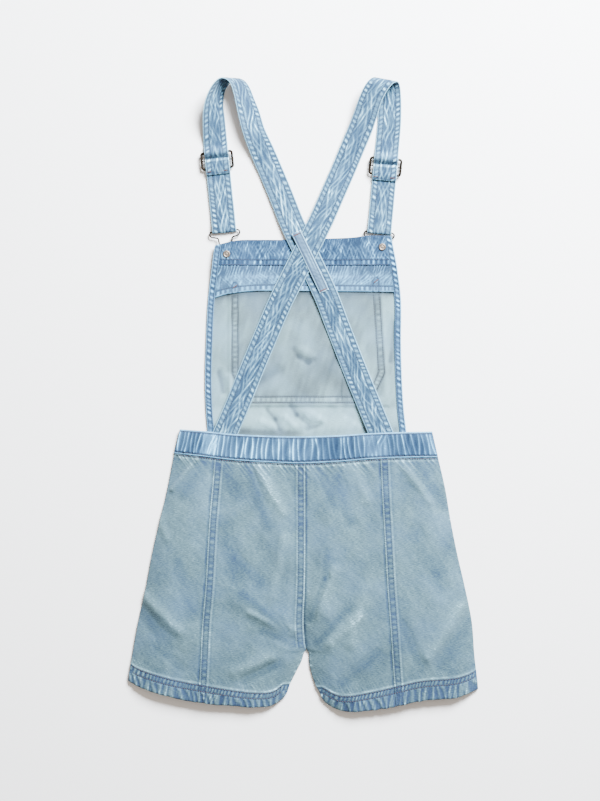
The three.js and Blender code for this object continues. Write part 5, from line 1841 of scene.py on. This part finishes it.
@dataclass
class Ribbon:
    """A strap of cloth along pairs of edge points, half its thickness to each side.

    Args:
        name: the piece's name.
        lefts: its left edge's points in mm.
        rights: its right edge's points.
        thickness: its cloth.
        step: distance of the grid's rows along it, in mm.
        columns: points across it.
        seed: which streaks.
        turns_at: how far along it turns over, in mm.
    """

    name: str
    lefts: Array
    rights: Array
    thickness: float
    step: float
    columns: int
    seed: int
    turns_at: float = 1e4

    def __post_init__(self) -> None:
        """Lays a dense grid on the ribbon's middle surface and finds its outward direction."""
        middle = (self.lefts + self.rights) / 2
        length = float(np.sum(np.linalg.norm(np.diff(middle, axis=0), axis=1)))
        count = int(length / self.step)
        left = smooth_path(self.lefts, count, middle)
        right = smooth_path(self.rights, count, middle)
        share = np.linspace(0, 1, self.columns)[:, None, None]
        self.surface = left[None] * (1 - share) + right[None] * share
        onward = np.gradient(self.surface, axis=1)
        out = np.cross((right - left)[None], onward)
        self.out = out / np.linalg.norm(out, axis=2)[..., None]
        self.width = float(np.mean(np.linalg.norm(self.rights - self.lefts, axis=1)))
        steps = np.linalg.norm(np.diff((left + right) / 2, axis=0), axis=1)
        self.across = share[..., 0] * self.width + np.zeros((1, count))
        self.along = np.concatenate([[0], np.cumsum(steps)])[None] + 0 * self.across

    def relief(self) -> tuple[Array, Array]:
        """Rise and fade over both faces.

        At each edge a pale fold and two rows of stitches with a ladder of puckers between them.
        The middle is streaky.
        """
        edge = np.minimum(self.across, self.width - self.across)
        side = self.seed + 7 * (self.across > self.width / 2).astype(int)
        leaning = self.along + 0.5 * self.across
        near, far = ladder(leaning, 7.6, self.seed), ladder(leaning + 3, 7.6, self.seed + 3)
        steps = np.where(side > self.seed, far, near)
        blotches = streaks(self.across, self.along, self.seed + 17, 2.8, 13, 0.25)
        rows = bell(edge - 2.2, 0.75) + bell(edge - 8.6, 0.85)
        zone = smooth((edge - 2.0) / 1.4) * smooth((8.6 - edge) / 1.4)
        middle = smooth((edge - 8.4) / 1.4)
        ridges = np.maximum(veins(self.across, self.along, self.seed + 11, 5.4, 17, 0.3),
                            veins(self.across, self.along, self.seed + 15, 6.2, 14, -0.2))
        finer = veins(self.across, self.along, self.seed + 13, 3.4, 8, -0.25)
        soft = Unevenness(self.seed + 12)(self.along / 24, self.across / 11)
        wear_and_shade = 0.8 * bell(edge - 0.3, 0.8) - 0.95 * rows + zone * (0.85 * steps - 0.08)
        wear_and_shade += middle * (1.25 * ridges + 0.3 * finer + 0.3 * soft + 0.45 * blotches - 0.8)
        rise = 0.28 * steps * zone - 0.25 * rows + middle * (0.45 * ridges + 0.15 * finer + 0.1)
        return rise - 0.35 * (1 - smooth(edge / 1.3)), wear_and_shade

    def face(self, side: int, sink: float = 0.0) -> Array:
        """The points of the outward face, or of the other one where side is -1.

        The face that lies on something is nearly flat: the other one before the ribbon turns over, and
        this one past the turn.
        """
        rise, _ = self.relief()
        turned_over = smooth((self.along - self.turns_at + 40) / 80)
        seen = 1 - turned_over if side > 0 else turned_over
        rise = np.where(rise > 0, rise * (0.15 + 0.85 * seen), rise)
        return self.surface + side * self.out * (self.thickness / 2 + rise - sink)[..., None]

    def build(self, material: bpy.types.Material, wear_and_shade: Array | None = None) -> bpy.types.Object:
        """The ribbon as a closed piece."""
        fade = self.relief()[1] if wear_and_shade is None else wear_and_shade
        shell = Shell(self.name, self.face(1), self.face(-1), np.clip(fade, -1, 1), self.across, self.along)
        return shell.build(material, material)

    def sew(self, rows: Stitches, insets: Sequence[float], first: int = 0, last: int | None = None) -> None:
        """Rows of stitches on both faces at distances in from both edges.

        Args:
            rows: the piece that the stitches join.
            insets: the distances in mm.
            first: the first grid row they run from.
            last: the grid row they run to, or None for the end.
        """
        part = slice(first, last)
        for side in (1, -1):
            face = self.face(side, -0.12)
            for inset in insets:
                for place in (inset, self.width - inset):
                    column = place / self.width * (self.columns - 1)
                    low, share = int(column), column - int(column)
                    path = face[low] * (1 - share) + face[low + 1] * share
                    rows.row(path[part], side * self.out[low][part])


def square_edges(middle: Array) -> tuple[Array, Array]:
    """A strap's edges along a middle line, square to it in plan."""
    heading = np.gradient(middle, axis=0)[:, :2]
    heading /= np.linalg.norm(heading, axis=1)[:, None]
    half = STRAP_WIDTH / 2 * np.stack([heading[:, 1], -heading[:, 0], 0 * heading[:, 0]], axis=1)
    return middle - half, middle + half


@dataclass
class Straps:
    """The two crossed straps with their shoulder loops and returned ends, and the keeper between."""

    room: Workroom
    floor_layer: float = 1.0
    flap_length: float = 21.0
    slider_z: float = 5.2
    keeper_width: float = 15.0
    row_insets: tuple[float, float] = (2.2, 8.4)

    def front_edges(self, stretch: FrontStretch, rows: Sequence[tuple[float, float]]) -> tuple[Array, Array]:
        """Edge points of the front stretch at lengths along it and heights."""
        table = np.array(rows)
        half = STRAP_WIDTH / 2 + 0 * table[:, 0]
        return stretch.at(table[:, 0], -half, table[:, 1]), stretch.at(table[:, 0], half, table[:, 1])

    def strap(self, name: str, route: Sequence[StrapPoint], loop: Sequence[EdgePair],
              stretch: FrontStretch, seed: int) -> Ribbon:
        """One strap from the waistband to its hook: back, shoulder loop, under the slider, down the front."""
        middle = smooth_path(np.array([(p.x, p.y, p.z) for p in route]), 24)
        back_left, back_right = square_edges(middle)
        turn = np.array([(p.left_x, p.left_y, p.left_z, p.right_x, p.right_y, p.right_z) for p in loop])
        at, end = stretch.slider_at, stretch.length
        heights = ((24, 1.6), (18, 4.4), (14.6, 6.9), (12, 7.6), (9.6, 6.9), (7.2, 4.9), (5, 2.7), (2.8, 1.5))
        rows = [(at - before, z) for before, z in heights]
        rows += [(at + (end - at) * share, self.floor_layer) for share in (0, 0.25, 0.5, 0.75, 1)]
        front_left, front_right = self.front_edges(stretch, rows)
        lefts = np.concatenate([back_left, turn[:, :3], front_left])
        rights = np.concatenate([back_right, turn[:, 3:], front_right])
        return Ribbon(name, lefts, rights, STRAP_CLOTH, 1.5, 37, seed, turns_at=510.0)

    def returned(self, stretch: FrontStretch, seed: int) -> Ribbon:
        """The strap's end: round the hook's bar, back over itself, round the slider's bar, then the flap."""
        hook_round = WIRE_RADIUS + SEAM_GAP + STRAP_CLOTH / 2 + 0.05
        bar_round = 1.0 + SEAM_GAP + STRAP_CLOTH / 2 + 0.2
        hook_z = self.floor_layer + hook_round
        low = self.floor_layer + STRAP_CLOTH + SEAM_GAP
        run = stretch.length - stretch.slider_at
        rows = []
        for angle in np.linspace(-math.pi / 2, math.pi / 2, 9):
            rows.append((stretch.length + SEAM_GAP + hook_round * math.cos(angle),
                         hook_z + hook_round * math.sin(angle)))
        for beyond, z in ((run - 8, hook_z + hook_round - 0.4), (run - 18, low + 0.3), (run * 0.6, low),
                          (22, low), (8, low)):
            rows.append((stretch.slider_at + beyond, z))
        for angle in np.linspace(-math.pi / 2, -3 * math.pi / 2, 9):
            rows.append((stretch.slider_at + bar_round * math.cos(angle),
                         self.slider_z + bar_round * math.sin(angle)))
        for beyond, z in ((8, self.slider_z + bar_round), (13.5, self.slider_z + bar_round),
                          (self.flap_length, low + STRAP_CLOTH + SEAM_GAP + 0.1)):
            rows.append((stretch.slider_at + beyond, z))
        lefts, rights = self.front_edges(stretch, rows)
        return Ribbon(f"strap_{stretch.side.value}_return", lefts, rights, STRAP_CLOTH, 1.0, 37, seed)

    def tacks_on(self, ribbon: Ribbon, tacks: Stitches, row: int, centres: Sequence[float], width: float,
                 side: int) -> None:
        """A bartack: a short dense block of stitches across a ribbon, at places across it.

        Args:
            ribbon: the strap or keeper.
            tacks: the piece that the stitches join.
            row: the ribbon's grid row.
            centres: the blocks' middles across it, in mm.
            width: the blocks' width.
            side: which face.
        """
        face = ribbon.face(side, -0.15)
        for centre in centres:
            for place in np.arange(centre - width / 2, centre + width / 2 + 0.1, 0.75):
                low = int(np.clip(place / ribbon.width * (ribbon.columns - 1), 0, ribbon.columns - 2))
                part = slice(row - 1, row + 2)
                tacks.row(face[low][part], side * ribbon.out[low][part])

    def build(self) -> None:
        """Both straps, their ends and the keeper, with every row of stitches."""
        rows = Stitches("strap_stitches", length=2.9, gap=0.8, radius=0.5)
        tacks = Stitches("strap_bartacks", length=1.9, gap=0.05, radius=0.42)
        edge_rows = Stitches("keeper_stitches", length=2.4, gap=0.7, radius=0.32)
        for name, route, loop, stretch, seed in (
            ("strap_left", LEFT_ROUTE, LEFT_LOOP, LEFT_FRONT, 201),
            ("strap_right", RIGHT_ROUTE, RIGHT_LOOP, RIGHT_FRONT, 241),
        ):
            ribbon = self.strap(name, route, loop, stretch, seed)
            piece = seat(ribbon.build(self.room.straps), Slot.STRAPS, name)
            ribbon.sew(rows, self.row_insets, first=6)
            end = self.returned(stretch, seed + 20)
            wear_and_shade = end.relief()[1]
            from_end = end.along[0, -1] - end.along
            wear_and_shade = wear_and_shade + 0.35 * bell(from_end - 0.4, 0.9) - 0.5 * bell(from_end - 2.2, 1.0)
            wear_and_shade += 0.8 * bell(from_end - self.flap_length - 0.5, 1.3)
            piece = seat(end.build(self.room.straps, wear_and_shade), Slot.STRAPS, f"{name}_return")
            end.sew(rows, self.row_insets, last=-5)
            self.tacks_on(end, tacks, -6, (5.5, STRAP_WIDTH - 5.5), 5.5, -1)
            self.tacks_on(end, tacks, -2, (STRAP_WIDTH / 2,), STRAP_WIDTH - 2, -1)
        keeper = self.keeper()
        edge = np.minimum(keeper.across, keeper.width - keeper.across)
        lengthwise = np.tanh(1.8 * streaks(keeper.across, keeper.along, 281, 1.5, 26))
        from_end = np.minimum(keeper.along, keeper.along[0, -1] - keeper.along)
        wear_and_shade = 0.75 * bell(edge - 0.6, 0.9) - 0.85 * bell(edge - 2.3, 0.8)
        wear_and_shade = wear_and_shade + 0.45 * lengthwise * smooth((edge - 3) / 1)
        wear_and_shade = wear_and_shade + 0.1 * smooth((edge - 3) / 1) + 0.8 * bell(from_end - 0.6, 1.0)
        wear_and_shade = wear_and_shade - 0.7 * bell(keeper.across - 3.8, 1.1)
        piece = seat(keeper.build(self.room.keeper, wear_and_shade), Slot.STRAPS, "strap_keeper")
        keeper.sew(edge_rows, (2.3,), first=2, last=-2)
        for row in (3, -5):
            self.tacks_on(keeper, tacks, row, (self.keeper_width / 2,), 11.0, 1)
        seat(rows.build(self.room.blue_thread), Slot.STRAPS)
        seat(edge_rows.build(self.room.blue_thread), Slot.STRAPS)
        seat(tacks.build(self.room.tack_thread), Slot.STRAPS)

    def keeper(self) -> Ribbon:
        """The keeper: a narrow band along the lower strap's line, over the upper strap."""
        middle_x = table_line(LEFT_ROUTE, "y", "x")
        lower_z = float(table_line(LEFT_ROUTE, "y", "z")(np.array([153.8]))[0])
        y = np.array([153.8, 167.8, 180, 194.5, 209, 223.5, 238, 243])
        z = np.array([lower_z + 1.7, lower_z + 2.9, 9.5, 9.5, 9.5, 9.5, 9.5, 9.2])
        slope = (middle_x(y + 4) - middle_x(y - 4)) / 8
        scale = self.keeper_width / 2 / np.hypot(slope, 1)
        half = np.stack([scale, -slope * scale, 0 * scale], axis=1)
        middle = stacked(middle_x(y), y, z)
        return Ribbon("strap_keeper", middle - half, middle + half, 1.0, 1.0, 21, 271)


# Metal fittings


@dataclass
class Fittings:
    """The sliders, the wire hooks, the bib buttons' heads and their rivets."""

    room: Workroom
    slider_width: float = 48.0
    slider_length: float = 26.0
    slider_corner: float = 4.0
    slider_z: float = 5.2
    slider_wire: float = 1.8
    knob: float = 2.4
    hook_wire: float = 1.15
    hook_shoulder: float = 12.0
    past_button: float = 3.2
    button_radius: float = 8.5
    button_height: float = 2.7
    rivet_radius: float = 5.5
    rivet_height: float = 1.4
    rivet_base: float = 8.9

    def slider(self, stretch: FrontStretch) -> bpy.types.Object:
        """A rounded frame of wire with a middle bar whose ends stand out a little on both sides."""
        half_width, half_length = self.slider_width / 2 - WIRE_RADIUS, self.slider_length / 2 - WIRE_RADIUS
        corner = self.slider_corner - WIRE_RADIUS
        angle = np.linspace(0, np.pi / 2, 9)
        across, along = [], []
        for turn, (side, end) in enumerate(((1, 1), (-1, 1), (-1, -1), (1, -1))):
            across.append(side * (half_width - corner) + corner * np.cos(angle + turn * np.pi / 2))
            along.append(end * (half_length - corner) + corner * np.sin(angle + turn * np.pi / 2))
        across, along = np.concatenate(across), np.concatenate(along)
        z = self.slider_z + 0 * along
        parts = [ring(stretch.at(stretch.slider_at + along, across, z), self.slider_wire, 12)]
        reach = np.linspace(-half_width, half_width, 9)
        parts.append(wire(stretch.at(stretch.slider_at + 0 * reach, reach, self.slider_z + 0 * reach),
                          0.95 + 0 * reach, 12))
        for side in (-1, 1):
            out = np.linspace(-1, 1, 13)
            path = stretch.at(stretch.slider_at + out * self.knob, side * (half_width + 0.3) + 0 * out,
                              self.slider_z + 0 * out)
            parts.append(wire(path, 0.2 + 1.6 * np.sqrt(1 - out**2), 14))
        name = f"slider_{stretch.side.value}"
        return seat(joined(name, parts, self.room.steel), Slot.STEEL, name)

    def hook(self, stretch: FrontStretch, button: Button) -> bpy.types.Object:
        """A bent wire: a bar in the strap's fold, two shoulders and a narrow eye over the button."""
        along_axis = stretch.direction
        origin = np.array([stretch.from_x, stretch.from_y]) + along_axis * (stretch.length + SEAM_GAP)
        to_button = np.array([button.x, button.y]) - origin
        reach = float(to_button @ along_axis) + self.past_button
        sideways = float(to_button @ np.array([-along_axis[1], along_axis[0]]))
        deepest = -HOOK_HALF[-1].along
        half = np.array([(p.across, p.along, p.z) for p in HOOK_HALF])
        other = half[:-1][::-1] * np.array([-1, 1, 1])
        points = np.concatenate([half, other])
        far = np.clip((-points[:, 1] - self.hook_shoulder) / (deepest - self.hook_shoulder), 0, 1)
        along = stretch.length + SEAM_GAP - points[:, 1] + (reach - deepest) * far
        path = smooth_path(stretch.at(along, points[:, 0] + sideways * far, points[:, 2]), 150)
        name = f"hook_{stretch.side.value}"
        bent = wire(path, self.hook_wire + 0 * path[:, 0], 12)
        return seat(joined(name, [bent], self.room.steel), Slot.STEEL, name)

    def turned(self, name: str, corners: Sequence[tuple[float, float]], place: Button, z: float) -> None:
        """A round piece from the corners of its profile, its rim softened."""
        profile = np.array(corners, float)
        rim = smooth_path(profile[1:-1], 26)
        profile = np.concatenate([profile[:1], rim, profile[-1:]])
        piece = turned(name, profile, (place.x, place.y, z), 64, self.room.brass)
        seat(piece, Slot.BRASS, name)

    def build(self) -> None:
        """Every fitting on both sides."""
        for stretch, button in zip((LEFT_FRONT, RIGHT_FRONT), BUTTONS):
            self.slider(stretch)
            self.hook(stretch, button)
            r, h = self.button_radius, self.button_height
            head = ((0, 0), (r - 0.8, 0), (r - 0.2, 0.2), (r, 0.8), (r, h - 0.8), (r - 0.3, h - 0.2),
                    (r - 0.9, h), (2.6, h), (0, h))
            self.turned(f"button_{button.side.value}", head, button, 0.0)
            r, h = self.rivet_radius, self.rivet_height
            cap = ((0, 0), (r, 0), (r, 0.5), (r - 0.3, h - 0.5), (r - 0.8, h - 0.15), (r - 1.6, h),
                   (r - 2.3, h - 0.35), (r - 3.2, h - 0.5), (1.6, h - 0.35), (0, h - 0.3))
            self.turned(f"rivet_{button.side.value}", cap, button, self.rivet_base)


# The studio


@dataclass(frozen=True)
class Studio:
    """A pale table, a large soft light from the upper right, light all round, the camera straight above."""

    floor_side: float = 6.0
    floor_z: float = -0.0002
    lens: float = 85.0
    sensor: float = 36.0
    picture_long_side: float = 1.2015
    picture_middle: tuple[float, float] = (-0.0045, -0.009)
    key_power: float = 735.0
    key_size: float = 1.15
    key_place: tuple[float, float, float] = (1.0, 1.8, 1.55)
    world_strength: float = 0.83

    def build(self) -> None:
        """Floor, light and camera."""
        side = self.floor_side / 2 / MM
        u, v = square_grid(2, 2)
        points = stacked((2 * u - 1) * side, (2 * v - 1) * side, 0 * u + self.floor_z / MM).reshape(-1, 3)
        floor = new_mesh("table", points, np.array([[0, 2, 3, 1]]), [PaleSweep().material()])
        key = bpy.data.lights.new("softbox", "AREA")
        key.energy, key.size = self.key_power, self.key_size
        key.color = linear("#f4f9ff")[:3]
        softbox = bpy.data.objects.new("softbox", key)
        softbox.location = self.key_place
        aim = -np.array(self.key_place) / np.linalg.norm(self.key_place)
        softbox.rotation_euler = Vector(aim).to_track_quat("-Z", "Y").to_euler()
        world = bpy.data.worlds.new("studio")
        world.use_nodes = True
        background = world.node_tree.nodes["Background"]
        background.inputs["Color"].default_value = linear("#fff1e3")
        background.inputs["Strength"].default_value = self.world_strength
        lens = bpy.data.cameras.new("above")
        lens.lens, lens.sensor_width = self.lens, self.sensor
        lens.clip_start, lens.clip_end = 0.1, 20
        camera = bpy.data.objects.new("above", lens)
        camera.location = (*self.picture_middle, self.lens / self.sensor * self.picture_long_side)
        scene = bpy.context.scene
        for made in (softbox, camera):
            scene.collection.objects.link(made)
        scene.world = world
        scene.camera = camera


def main() -> None:
    """Builds every sub-assembly in order."""
    logging.basicConfig(level=logging.INFO, format="%(name)s %(message)s")
    room = Workroom()
    waist = WaistLines()
    legs = Legs(room, waist)
    legs.build()
    Waistband(room, waist, legs).build()
    Bib(room, waist).build()
    Straps(room).build()
    Fittings(room).build()
    Studio().build()


if __name__ == "__main__":
    main()
